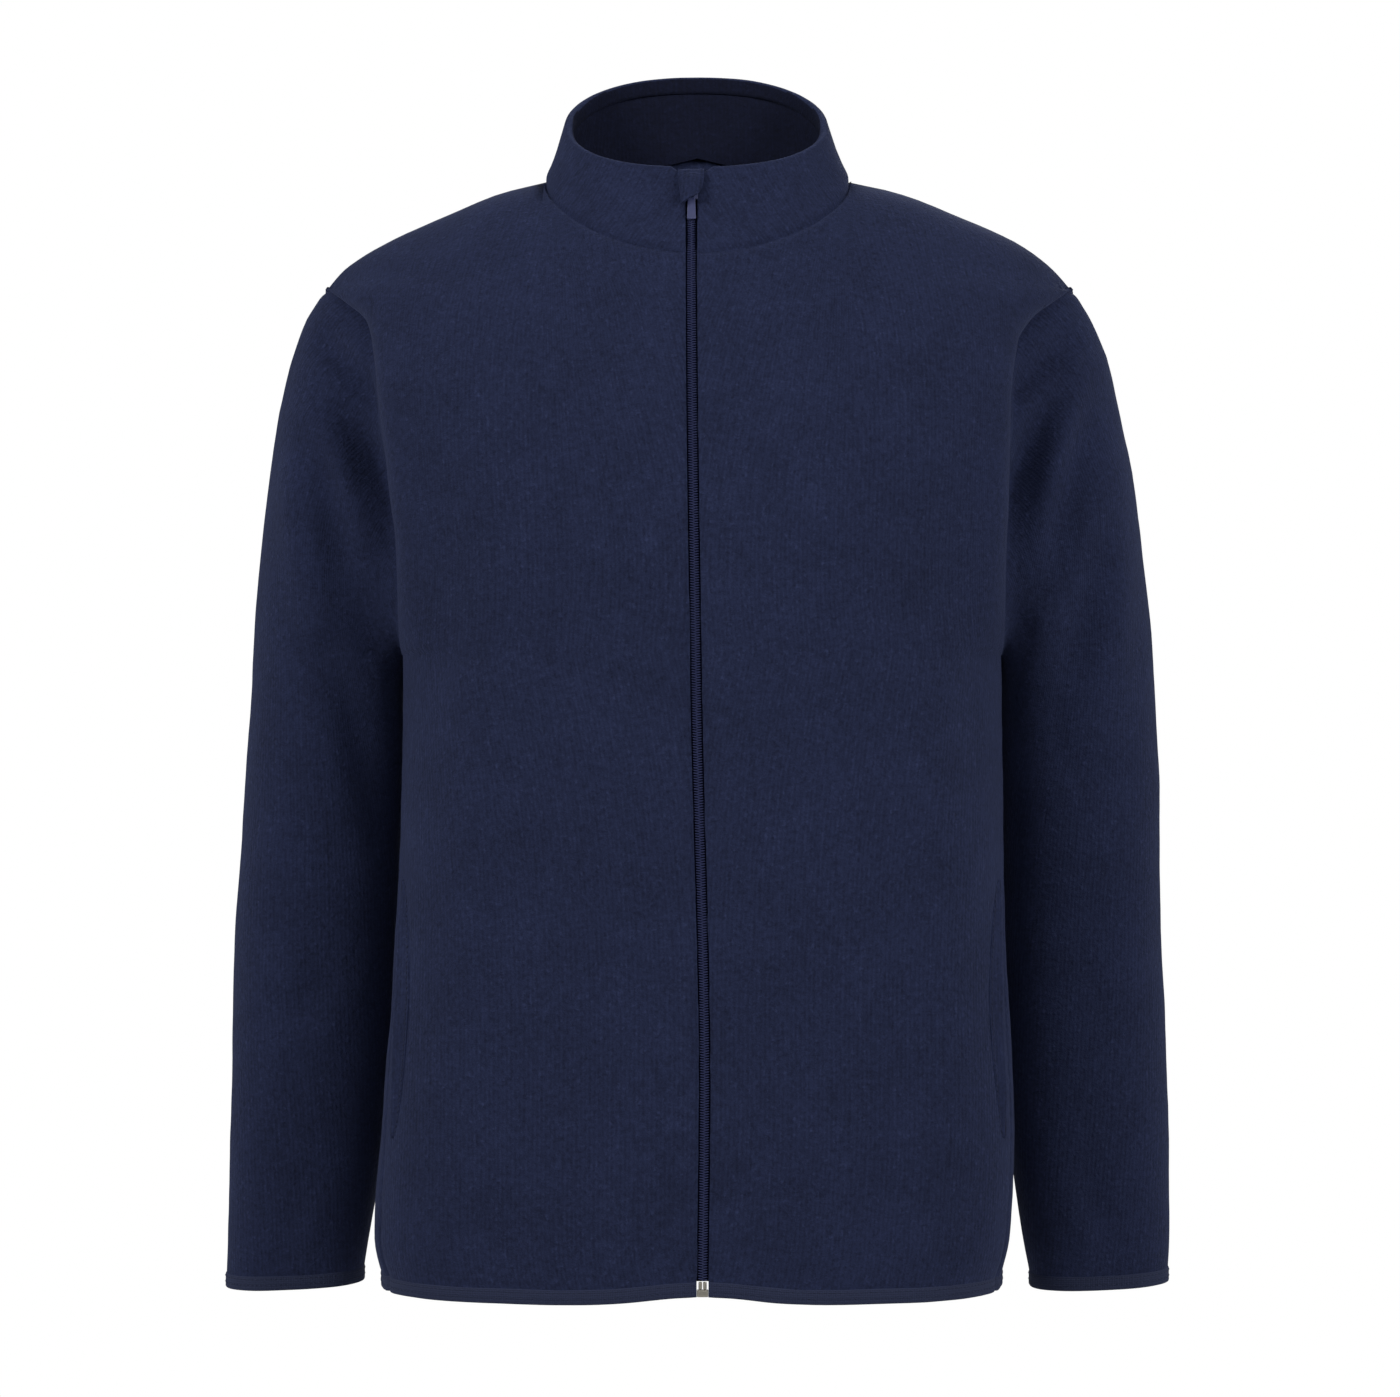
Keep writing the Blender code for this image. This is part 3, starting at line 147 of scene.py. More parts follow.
# Folds as curves through three points seen from the front: x and z of each, the face they are on, half
# width, depth (negative stands out), and which side of the curve the cloth swells on.
Fold = namedtuple("Fold", "piece face x_a z_a x_b z_b x_c z_c width depth swell")
FOLDS = (
    Fold("sleeve_right", FRONT, -0.238, -0.106, -0.220, -0.128, -0.205, -0.148, 0.009, 0.0085, 1),
    Fold("sleeve_right", FRONT, -0.240, -0.140, -0.214, -0.176, -0.197, -0.236, 0.011, 0.0120, 1),
    Fold("sleeve_right", FRONT, -0.217, -0.150, -0.203, -0.230, -0.199, -0.340, 0.018, 0.0060, 1),
    Fold("sleeve_right", FRONT, -0.252, -0.176, -0.230, -0.222, -0.209, -0.300, 0.013, 0.0075, 1),
    Fold("sleeve_right", FRONT, -0.236, -0.310, -0.216, -0.352, -0.200, -0.420, 0.015, 0.0060, 1),
    Fold("sleeve_right", FRONT, -0.272, -0.395, -0.246, -0.420, -0.214, -0.432, 0.014, 0.0022, -1),
    Fold("sleeve_right", FRONT, -0.236, -0.505, -0.256, -0.530, -0.285, -0.541, 0.013, 0.0018, 1),
    Fold("sleeve_right", FRONT, -0.262, -0.160, -0.256, -0.215, -0.246, -0.285, 0.012, -0.0048, 1),
    Fold("sleeve_right", FRONT, -0.250, -0.640, -0.262, -0.668, -0.268, -0.695, 0.010, 0.0012, 1),
    Fold("sleeve_left", FRONT, 0.236, -0.108, 0.217, -0.124, 0.204, -0.138, 0.009, 0.0070, -1),
    Fold("sleeve_left", FRONT, 0.234, -0.136, 0.213, -0.180, 0.203, -0.226, 0.011, 0.0135, -1),
    Fold("sleeve_left", FRONT, 0.221, -0.160, 0.208, -0.235, 0.205, -0.330, 0.017, 0.0055, -1),
    Fold("sleeve_left", FRONT, 0.257, -0.140, 0.241, -0.198, 0.226, -0.262, 0.012, 0.0095, -1),
    Fold("sleeve_left", FRONT, 0.270, -0.215, 0.252, -0.265, 0.232, -0.335, 0.014, 0.0055, -1),
    Fold("sleeve_left", FRONT, 0.214, -0.345, 0.236, -0.372, 0.270, -0.385, 0.015, 0.0022, 1),
    Fold("sleeve_left", FRONT, 0.279, -0.455, 0.252, -0.472, 0.222, -0.476, 0.014, 0.0020, -1),
    Fold("sleeve_left", FRONT, 0.272, -0.180, 0.268, -0.240, 0.262, -0.330, 0.012, -0.0040, 1),
    Fold("sleeve_left", FRONT, 0.248, -0.622, 0.256, -0.655, 0.270, -0.690, 0.010, 0.0014, -1),
    Fold("sleeve_right", BACK, -0.240, -0.118, -0.216, -0.152, -0.196, -0.214, 0.014, 0.0085, 1),
    Fold("sleeve_right", BACK, -0.262, -0.160, -0.236, -0.212, -0.212, -0.290, 0.016, 0.0060, 1),
    Fold("sleeve_right", BACK, -0.286, -0.350, -0.252, -0.392, -0.206, -0.400, 0.016, 0.0042, 1),
    Fold("sleeve_right", BACK, -0.288, -0.425, -0.250, -0.430, -0.208, -0.458, 0.014, 0.0032, -1),
    Fold("sleeve_right", BACK, -0.232, -0.560, -0.262, -0.590, -0.292, -0.598, 0.016, 0.0022, 1),
    Fold("sleeve_left", BACK, 0.243, -0.116, 0.219, -0.160, 0.201, -0.228, 0.014, 0.0085, -1),
    Fold("sleeve_left", BACK, 0.266, -0.172, 0.246, -0.226, 0.218, -0.300, 0.016, 0.0055, -1),
    Fold("sleeve_left", BACK, 0.212, -0.360, 0.250, -0.382, 0.292, -0.372, 0.016, 0.0045, -1),
    Fold("sleeve_left", BACK, 0.218, -0.432, 0.256, -0.424, 0.290, -0.446, 0.013, 0.0030, 1),
    Fold("sleeve_left", BACK, 0.286, -0.566, 0.262, -0.612, 0.234, -0.626, 0.015, 0.0022, -1),
    Fold("front_right", FRONT, -0.188, -0.150, -0.164, -0.212, -0.150, -0.300, 0.020, 0.0037, -1),
    Fold("front_right", FRONT, -0.182, -0.235, -0.168, -0.300, -0.164, -0.390, 0.017, 0.0031, -1),
    Fold("front_right", FRONT, -0.150, -0.330, -0.140, -0.450, -0.146, -0.610, 0.026, -0.0037, 1),
    Fold("front_right", FRONT, -0.060, -0.180, -0.064, -0.330, -0.052, -0.520, 0.030, 0.0020, 1),
    Fold("front_right", FRONT, -0.128, -0.600, -0.118, -0.650, -0.122, -0.690, 0.018, 0.0027, 1),
    Fold("front_left", FRONT, 0.186, -0.140, 0.166, -0.200, 0.152, -0.285, 0.018, 0.0034, 1),
    Fold("front_left", FRONT, 0.184, -0.240, 0.172, -0.315, 0.166, -0.410, 0.018, 0.0031, 1),
    Fold("front_left", FRONT, 0.156, -0.320, 0.148, -0.450, 0.156, -0.600, 0.026, -0.0037, 1),
    Fold("front_left", FRONT, 0.052, -0.200, 0.066, -0.360, 0.060, -0.560, 0.032, 0.0020, 1),
    Fold("front_left", FRONT, 0.104, -0.610, 0.112, -0.655, 0.108, -0.690, 0.016, 0.0024, 1),
    Fold("back", BACK, -0.196, -0.175, -0.150, -0.235, -0.120, -0.330, 0.020, 0.0050, -1),
    Fold("back", BACK, -0.180, -0.260, -0.150, -0.330, -0.142, -0.430, 0.020, 0.0036, -1),
    Fold("back", BACK, 0.192, -0.165, 0.146, -0.240, 0.112, -0.345, 0.021, 0.0046, 1),
    Fold("back", BACK, 0.182, -0.275, 0.156, -0.345, 0.150, -0.440, 0.018, 0.0038, 1),
    Fold("back", BACK, -0.140, -0.440, -0.030, -0.456, 0.098, -0.440, 0.018, 0.0030, 1),
    Fold("back", BACK, -0.072, -0.486, 0.036, -0.498, 0.150, -0.482, 0.016, 0.0022, 1),
    Fold("back", BACK, -0.112, -0.560, -0.100, -0.620, -0.106, -0.690, 0.020, 0.0026, 1),
    Fold("back", BACK, 0.066, -0.570, 0.074, -0.630, 0.068, -0.690, 0.022, 0.0024, -1),
    Fold("back", BACK, 0.148, -0.540, 0.140, -0.610, 0.146, -0.690, 0.018, 0.0022, -1),
    Fold("back", BACK, -0.090, -0.030, 0.000, -0.046, 0.092, -0.028, 0.016, 0.0016, 1),
)
FOLD_SAMPLES = 28
SWELL_SHARE, SWELL_PLACE, SWELL_WIDTH = 0.38, 1.75, 0.75

NECK_COLUMNS, SHOULDER_COLUMNS = 26, 26
LOW_ROWS, HIGH_ROWS = 74, 64
MOST_SHORT = 70
SLEEVE_ROWS = 132
COLLAR_ROWS, TURN_ROWS, LEG_ROWS = 18, 8, 4
DIP, DIP_FROM, DIP_WIDTH = 0.0045, 0.0085, 0.0050
FACING_ROWS = 14
RIM_STEPS = (0.10, 0.24, 0.42, 0.68)
ROLL_DEPTH, ROLL_WIDTH = 0.0011, 0.0024
PUFF_HEIGHT, PUFF_PLACE, PUFF_WIDTH = 0.00045, 0.0070, 0.0045
PUCKER_HEIGHT, PUCKER_REACH = 0.00055, 0.0130
# Waves in a metre of the soft unevenness, from broad to small, and of the pucker along a seam.
BROAD_WAVES, MIDDLE_WAVES, SMALL_WAVES, PUCKER_WAVES = 9, 21, 75, 62
FOLD_FADE = 0.0065
SEAM_REACH = 0.0045
TUCK, TUCK_RISE, TUCK_REACH = 0.0120, 0.0080, 0.0270
TUCK_TOP, TUCK_FOOT, TUCK_EASE = -0.088, -0.300, 0.060

POCKET_TOP, POCKET_END = -0.446, -0.605
TURN_PER_METRE, SEAM_SHARE, WELT_INSET = 560, 0.9, 8.6

Guard = namedtuple("Guard", "step down turn right left bulge tip")
GUARD = (
    Guard(0, 0.0150, 180, 0.0078, 0.0074, 0.00, 0),
    Guard(1, 0.0000, 180, 0.0082, 0.0077, 0.00, 0),
    Guard(2, 0.0000, 135, 0.0083, 0.0078, 0.00, 0),
    Guard(3, 0.0000, 90, 0.0084, 0.0079, 0.00, 0),
    Guard(4, 0.0000, 45, 0.0085, 0.0079, 0.10, 0),
    Guard(5, 0.0000, 0, 0.0085, 0.0079, 0.30, 0),
    Guard(6, 0.0065, 0, 0.0083, 0.0076, 0.85, 0),
    Guard(7, 0.0125, 0, 0.0078, 0.0066, 1.00, 0),
    Guard(8, 0.0175, 0, 0.0072, 0.0050, 1.00, 0),
    Guard(9, 0.0205, 0, 0.0066, 0.0020, 1.00, 1),
)
GUARD_THICK, GUARD_CLEAR, GUARD_BULGE = 0.0016, 0.0005, 0.0052
GUARD_REACH, GUARD_TIP_FALL = 0.0090, 0.0050
GUARD_COLUMNS, GUARD_STEPS = 26, 6

TOOTH_PITCH = 0.0016
TOOTH_SIZE = (0.0038, 0.0011, 0.0018)
TOOTH_OUT, TOOTH_DEEP, TOOTH_LEAN = 0.0011, 0.0015, 11
TAPE_WIDTH, TAPE_EDGE, TAPE_FRONT, TAPE_BACK = 0.0075, 0.0001, 0.0028, 0.0036
STITCH_PITCH, STITCH_SIZE = 0.0032, (0.0023, 0.0006, 0.0005)


def along(rows, column, at):
    """The named column at places along the first column, on a smooth curve that never overshoots."""
    places = np.array([row[0] for row in rows], float)
    values = np.array([getattr(row, column) for row in rows], float)
    slopes = np.diff(values) / np.diff(places)
    tangents = np.concatenate([slopes[:1], np.zeros(len(rows) - 2), slopes[-1:]])
    same = slopes[:-1] * slopes[1:] > 0
    tangents[1:-1][same] = (2 * slopes[:-1] * slopes[1:])[same] / (slopes[:-1] + slopes[1:])[same]
    at = np.clip(at, places[0], places[-1])
    k = np.clip(np.searchsorted(places, at, side="right") - 1, 0, len(rows) - 2)
    span = (places[1:] - places[:-1])[k]
    t = (at - places[k]) / span
    return (
        values[k] * (1 + 2 * t) * (1 - t) ** 2
        + tangents[k] * span * t * (1 - t) ** 2
        + values[k + 1] * t * t * (3 - 2 * t)
        + tangents[k + 1] * span * t * t * (t - 1)
    )


def squircle(turn, squareness):
    """(across, deep) at this many degrees from the broadest point of a rounded square of radius 1."""
    c, s = np.cos(np.radians(turn)), np.sin(np.radians(turn))
    scale = (np.abs(c) ** squareness + np.abs(s) ** squareness) ** (-1 / squareness)
    return c * scale, s * scale


def other_leg(part, squareness):
    return np.maximum(1 - np.abs(part) ** squareness, 0) ** (1 / squareness)


def smooth_step(t):
    t = np.clip(t, 0, 1)
    return t * t * (3 - 2 * t)


def unit(vectors):
    return vectors / np.maximum(np.linalg.norm(vectors, axis=-1, keepdims=True), 1e-12)


def side_word(side):
    return "left" if side == LEFT else "right"


def shoulder_half(side):
    return getattr(ARMHOLE[-1], side_word(side))


def zip_x(z):
    return along(ZIP_LINE, "x", z)


def front_edge(side, z):
    return side * zip_x(z) + ZIP_OPENING


def hem_height(x):
    return HEM + HEM_RISE_AT_ZIP * np.exp(-((x / 0.055) ** 2))


def armhole_middle(z):
    rise = (z - UNDERARM) / (SHOULDER_POINT - UNDERARM)
    return TRUNK[-1].widest + (RIDGE_Y - TRUNK[-1].widest) * rise


def armhole_loop(side, angle):
    """The armhole seam: 0 degrees at the underarm, 180 at the shoulder, and negative angles at the back."""
    up, out = squircle(np.abs(angle), ARMHOLE_SQUARENESS)
    z = (SHOULDER_POINT + UNDERARM) / 2 - (SHOULDER_POINT - UNDERARM) / 2 * up
    forward = np.where(angle >= 0, -1, 1)
    y = armhole_middle(z) + forward * ARMHOLE_HALF_DEPTH * out
    return np.stack([side * along(ARMHOLE, side_word(side), z), y, z], axis=-1)


def armhole_y(facing, z):
    """The y of the armhole's front or back edge at this height."""
    part = (z - (SHOULDER_POINT + UNDERARM) / 2) / ((SHOULDER_POINT - UNDERARM) / 2)
    curve = armhole_middle(z) + facing * ARMHOLE_HALF_DEPTH * other_leg(part, ARMHOLE_SQUARENESS)
    return np.where(z >= SHOULDER_POINT, RIDGE_Y, curve)


def trunk_point(side, turn, z):
    """Points below the underarm: turn is 0 at the front edge, 90 at the broadest point, 180 at the back."""
    half, widest = along(TRUNK, side_word(side), z), along(TRUNK, "widest", z)
    across, deep = squircle(90 - np.minimum(turn, 90), along(TRUNK, "squareness", z))
    edge = front_edge(side, z)
    forward = widest - (widest + along(TRUNK, "front", z)) * deep
    fore = np.stack([edge + (half - edge) * across, forward], axis=-1)
    across, deep = squircle(np.maximum(turn, 90) - 90, BACK_SQUARENESS)
    rear = np.stack([half * across, widest + (along(TRUNK, "back", z) - widest) * deep], axis=-1)
    flat = np.where((turn <= 90)[..., None], fore, rear)
    return np.stack([side * flat[..., 0], flat[..., 1], z + 0 * flat[..., 0]], axis=-1)


def chest_point(side, facing, across, z, ridge):
    """Points above the underarm.  Across is 0 at the middle and 1 at the armhole; ridge is the height of
    the shoulder line that the column closes on."""
    square, crown, depth = BACK_SQUARENESS, BACK_CROWN, BACK_DEPTH
    if facing < 0:
        square, crown, depth = CHEST_SQUARENESS, FRONT_CROWN, FRONT_DEPTH
    low = along(TRUNK, side_word(side), np.array(UNDERARM))
    easy = low + (shoulder_half(side) - low) * smooth_step((z - UNDERARM) / (SHOULDER_POINT - UNDERARM))
    half = easy + (along(ARMHOLE, side_word(side), z) - easy) * across**6
    edge = front_edge(side, z) if facing < 0 else 0
    rise = np.clip((z - UNDERARM) / (ridge - UNDERARM), 0, 1)
    middle = TRUNK[-1].widest + (RIDGE_Y - TRUNK[-1].widest) * np.minimum(rise * 1.25, 1)
    base = middle + (armhole_y(facing, z) - middle) * across**4
    y = base + (facing * depth - base) * other_leg(across, square) * other_leg(rise, crown)
    return np.stack([side * (edge + (half - edge) * across), y, z], axis=-1)


def rim_spaced(count, both=True):
    """Places from 0 to 1, closer together near the start and the end, where the seams are."""
    steps = np.array(RIM_STEPS)
    finish = count - steps[::-1] if both else []
    return np.concatenate([[0], steps, np.arange(1, count), finish, [count]]) / count


def column_tops(side, facing):
    """For each column from the middle outwards: (across, height of its top, height of its shoulder line)."""
    start = front_edge(side, np.array(-FRONT_NECK_DROP)) if facing < 0 else 0
    outer = shoulder_half(side)
    neck = start + (NECK_HALF - start) * np.sin(math.pi / 2 * rim_spaced(NECK_COLUMNS, False))
    base = front_edge(side, np.array(SHOULDER_POINT))
    first = (NECK_HALF - base) / (outer - base)
    first_turn = np.degrees(np.arctan2(other_leg(first, CHEST_SQUARENESS), first))
    shoulder = squircle(first_turn * rim_spaced(SHOULDER_COLUMNS, False)[::-1], CHEST_SQUARENESS)[0]
    x = np.concatenate([neck, base + (outer - base) * shoulder[1:]])
    ridge = along(RIDGE, side_word(side), x)
    arch = other_leg(np.minimum(x / NECK_HALF, 1), NECK_SQUARENESS)
    if facing < 0:
        top = -FRONT_NECK_DROP * arch
    else:
        top = UNDERARM + (ridge - UNDERARM) * other_leg(BACK_NECK_LEG * arch, BACK_CROWN)
    in_neck = np.arange(len(x)) < len(neck) - 1
    top = np.where(in_neck, top, ridge)
    edge = front_edge(side, np.minimum(top, 0)) if facing < 0 else 0
    return np.clip((x - edge) / (outer - edge), 0, 1), top, ridge, len(neck)


def body_grid(side, facing):
    """Grid [column][row] of one quarter of the body, from the middle outwards and from the hem up."""
    square, crown = (CHEST_SQUARENESS, FRONT_CROWN) if facing < 0 else (BACK_SQUARENESS, BACK_CROWN)
    across, top, ridge, _ = column_tops(side, facing)
    turn = np.degrees(np.arctan2(other_leg(across, square), across))[:, None]
    low = rim_spaced(LOW_ROWS)[:-5]
    foot = hem_height(across * shoulder_half(side) * 0.8) + BINDING_DEPTH
    z = foot[:, None] + (UNDERARM - foot[:, None]) * low[None, :]
    seam = along(TRUNK, "seam_turn", z)
    if facing < 0:
        here = (90 - turn) * (90 - seam) / 90
    else:
        here = 180 - (90 - turn) * (90 + seam) / 90
    below = trunk_point(side, here, z)
    rise = (top - UNDERARM) / (ridge - UNDERARM)
    last = np.degrees(np.arctan2(rise, other_leg(rise, crown)))
    high = rim_spaced(HIGH_ROWS)[None, :]
    high = np.concatenate([[[0]], high[:, 5:]], axis=1)
    short = 90 - last[:, None]
    reach = 90 * high - short * high ** np.clip(MOST_SHORT / np.maximum(short, 1), 1, 4)
    z = UNDERARM + (ridge - UNDERARM)[:, None] * squircle(reach, crown)[1]
    plain = UNDERARM + (SHOULDER_POINT - UNDERARM) * squircle(90 * high, crown)[1]
    z = z + (armhole_loop(side, -facing * 180.0 * high)[..., 2] - plain) * across[:, None] ** 8
    above = chest_point(side, facing, across[:, None], z, ridge[:, None])
    return np.concatenate([below, above], axis=1)


def sleeve_grid(side):
    word = side_word(side)
    half_turn = 180 * np.linspace(0, 1, HIGH_ROWS + 1)
    angle = np.concatenate([half_turn, half_turn[-2::-1] * -1])[:, None]
    place = (rim_spaced(SLEEVE_ROWS) * (len(SLEEVE) - 1))[None, :]

    def flat_ring(place):
        outer = np.stack([along(SLEEVE, "outer_" + word, place), along(SLEEVE, "outer_z", place)], axis=-1)
        inner = np.stack([along(SLEEVE, "inner_" + word, place), along(SLEEVE, "inner_z", place)], axis=-1)
        in_out, depth = squircle(np.abs(angle), SLEEVE_SQUARENESS)
        flat = (outer + inner) / 2 - (outer - inner) / 2 * in_out[..., None]
        fore, rear = along(SLEEVE, "front", place), along(SLEEVE, "back", place)
        y = (fore + rear) / 2 + (np.where(angle >= 0, fore, rear) - (fore + rear) / 2) * depth
        slant = smooth_step((place - len(SLEEVE) + 4) / 3)
        z = flat[..., 1] + CUFF_SLANT * side * (flat[..., 0] - (outer + inner)[..., 0] / 2) * slant
        return np.stack([side * flat[..., 0], y, z], axis=-1)

    pull = along(SEAM_PULL, "share", place)[..., None]
    return flat_ring(place) + (armhole_loop(side, angle) - flat_ring(0 * place)) * pull


def neck_line():
    """The neckline from the wearer's right front edge round the back to the left."""
    part = {}
    for side in (RIGHT, LEFT):
        for facing in (FRONT, BACK):
            across, top, ridge, count = column_tops(side, facing)
            neck = slice(0, count)
            part[side, facing] = chest_point(side, facing, across[neck], top[neck], ridge[neck])
    return np.concatenate(
        [part[RIGHT, FRONT], part[RIGHT, BACK][::-1][1:], part[LEFT, BACK][1:], part[LEFT, FRONT][::-1][1:]]
    )


def collar_frame():
    """(foot, rim, up, out) of the collar at each station round it."""
    foot = neck_line()
    quarter = rim_spaced(NECK_COLUMNS, False)
    rim = []
    for side, front_first in ((RIGHT, True), (LEFT, False)):
        fore = np.sin(math.pi / 2 * quarter)
        both = []
        for facing in (FRONT, BACK):
            edge = front_edge(side, np.array(0.0)) if facing < 0 else 0
            x = edge + (COLLAR_WIDTH[side] - edge) * fore
            reach = COLLAR_FRONT if facing < 0 else COLLAR_BACK
            y = COLLAR_MIDDLE + (reach - COLLAR_MIDDLE) * other_leg(fore, COLLAR_SQUARENESS)
            rise = (y - COLLAR_FRONT) / (COLLAR_BACK - COLLAR_FRONT)
            z = COLLAR_FRONT_TOP + (COLLAR_BACK_TOP - COLLAR_FRONT_TOP) * rise
            both.append(np.stack([side * x, y, z], axis=-1))
        half = np.concatenate([both[0], both[1][::-1][1:]])
        rim.append(half if front_first else half[::-1][1:])
    rim = np.concatenate(rim)
    up = unit(rim - foot)
    round_it = np.gradient(rim, axis=0)
    out = unit(np.cross(round_it, up))
    if ((rim - np.array([0, COLLAR_MIDDLE, 0])) * out).sum() < 0:
        out = -out
    return foot, rim, up, out


def collar_grid():
    foot, rim, up, out = collar_frame()
    rows = [foot + (rim - foot) * part for part in rim_spaced(COLLAR_ROWS)[: COLLAR_ROWS + 4]]
    ways = [out] * len(rows)
    rows.append(rim)
    ways.append(out)
    for i in range(1, TURN_ROWS + 1):
        turn = math.pi * i / TURN_ROWS
        rows.append(rim + COLLAR_FOLD * (out * (math.cos(turn) - 1) + up * math.sin(turn)))
        ways.append(out * math.cos(turn) + up * math.sin(turn))
    for i in range(1, LEG_ROWS + 1):
        rows.append(rim - 2 * COLLAR_FOLD * out - COLLAR_LEG * i / LEG_ROWS * up)
        ways.append(-out)
    height = np.array([*rim_spaced(COLLAR_ROWS)[: COLLAR_ROWS + 4], *[1] * (TURN_ROWS + LEG_ROWS + 1)])
    dip = corner_dip(foot[None, :, 0] * (rim[0, 0] / foot[0, 0]), height[:, None])
    rows = np.array(rows) - up * np.where(rim[:, 1] < COLLAR_MIDDLE, dip, 0)[..., None]
    return rows.transpose(1, 0, 2), np.array(ways).transpose(1, 0, 2)


def corner_dip(x, height):
    """How far the collar slips down beside the flap; height is the share of the way up the collar."""
    beside = np.abs(x - zip_x(np.array(0.0))) - DIP_FROM
    return DIP * (1 - smooth_step(beside / DIP_WIDTH)) * np.clip(height, 0, 1) ** 2


def facing_grid():
    foot, rim, up, out = collar_frame()
    inner = -2 * COLLAR_FOLD * out
    top = rim + inner - (COLLAR_LEG + 0.0004) * up
    bottom = foot + inner + FACING_FOOT * up
    grid = np.array([bottom + (top - bottom) * part for part in rim_spaced(FACING_ROWS)]).transpose(1, 0, 2)
    return grid, np.repeat(-out[:, None], grid.shape[1], axis=1)


def outward(points, core):
    """Unit directions square to a grid, away from the core."""
    found = unit(np.cross(np.gradient(points, axis=0), np.gradient(points, axis=1)))
    return -found if ((points - core) * found).sum() < 0 else found


def run_along(points, axis):
    """How far each point of the grid lies from its first column (axis 0) or its first row (axis 1)."""
    steps = np.linalg.norm(np.diff(points, axis=axis), axis=-1)
    return np.insert(np.cumsum(steps, axis=axis), 0, 0, axis=axis)


def rim_distance(points, closed):
    """(distance from the last row and, on an open grid, from its side edges; distance from the first row)"""
    down = run_along(points, 1)
    near = down[:, -1:] - down
    if not closed:
        round_it = run_along(points, 0)
        near = np.minimum(near, np.minimum(round_it, round_it[-1:] - round_it))
    return near, down


def flat_places(points):
    """The grid laid flat, in metres: across from its middle column, and up from its first row."""
    round_it = run_along(points, 0)
    return np.stack([round_it - round_it[-1:] / 2, run_along(points, 1)], axis=-1)


def rumple(points, scale, seed):
    """Smooth noise from -1 to 1 over the points."""
    flat = points.reshape(-1, 3) * scale + seed * 7.31
    return np.array([noise.noise(Vector(p)) for p in flat]).reshape(points.shape[:2])


def fold_field(name, points, ways):
    """How far each point is pushed in by the folds of its piece."""
    push = np.zeros(points.shape[:2])
    flat = points[..., [0, 2]]
    t = np.linspace(0, 1, FOLD_SAMPLES)[:, None]
    for fold in FOLDS:
        if fold.piece != name:
            continue
        a, b, c = np.array(fold[2:8]).reshape(3, 2)
        bend = 2 * b - (a + c) / 2
        curve = a * (1 - t) ** 2 + 2 * bend * t * (1 - t) + c * t**2
        gaps = flat[:, :, None, :] - curve
        apart = np.linalg.norm(gaps, axis=-1)
        nearest = apart.argmin(axis=-1)
        d = apart.min(axis=-1) / fold.width
        heading = np.gradient(curve, axis=0)[nearest]
        gap = np.take_along_axis(gaps, nearest[..., None, None], axis=2)[:, :, 0]
        beside = np.sign(heading[..., 0] * gap[..., 1] - heading[..., 1] * gap[..., 0]) * fold.swell
        place = nearest / (FOLD_SAMPLES - 1)
        taper = np.sin(math.pi * (0.10 + 0.80 * place)) ** 0.8
        facing = np.clip(ways[..., 1] * fold.face, 0, 1) ** 0.6
        swell = SWELL_SHARE * np.exp(-(((d - SWELL_PLACE) / SWELL_WIDTH) ** 2)) * (beside > 0)
        push += fold.depth * (np.exp(-(d**2)) - swell) * taper * facing
    return push


class Piece:
    """A cut piece: its grid, the way out at each point, and how far each point is from its seams."""

    def __init__(self, name, points, core=None, ways=None, closed=False):
        self.name, self.points, self.closed = name, points, closed
        self.ways = outward(points, core) if ways is None else ways
        self.flat = flat_places(points)
        self.near, self.down = rim_distance(points, closed)

    def rims(self):
        columns, rows = self.points.shape[:2]
        mask = np.zeros((columns, rows), bool)
        mask[:, [0, -1]] = True
        if not self.closed:
            mask[[0, -1]] = True
        return mask


def share_seams(pieces):
    """Turns the ways near each seam to the mean of the pieces that meet there, so that both roll together."""
    rims = {p.name: p.rims() for p in pieces}
    shared = {}
    for piece in pieces:
        mine = piece.points[rims[piece.name]]
        total = piece.ways[rims[piece.name]].copy()
        for other in pieces:
            if other is piece:
                continue
            theirs, ways = other.points[rims[other.name]], other.ways[rims[other.name]]
            apart = np.linalg.norm(mine[:, None] - theirs[None], axis=-1)
            nearest = apart.argmin(axis=1)
            met = apart[np.arange(len(mine)), nearest] < SEAM_REACH
            total[met] += ways[nearest[met]]
        shared[piece.name] = unit(total)
    for piece in pieces:
        rim = piece.points[rims[piece.name]]
        close = piece.near < 3 * ROLL_WIDTH
        inner = piece.points[close]
        nearest = np.array([np.linalg.norm(rim - p, axis=-1).argmin() for p in inner])
        weight = np.exp(-((piece.near[close] / ROLL_WIDTH) ** 2))[:, None]
        piece.ways[close] = unit(piece.ways[close] * (1 - weight) + shared[piece.name][nearest] * weight)


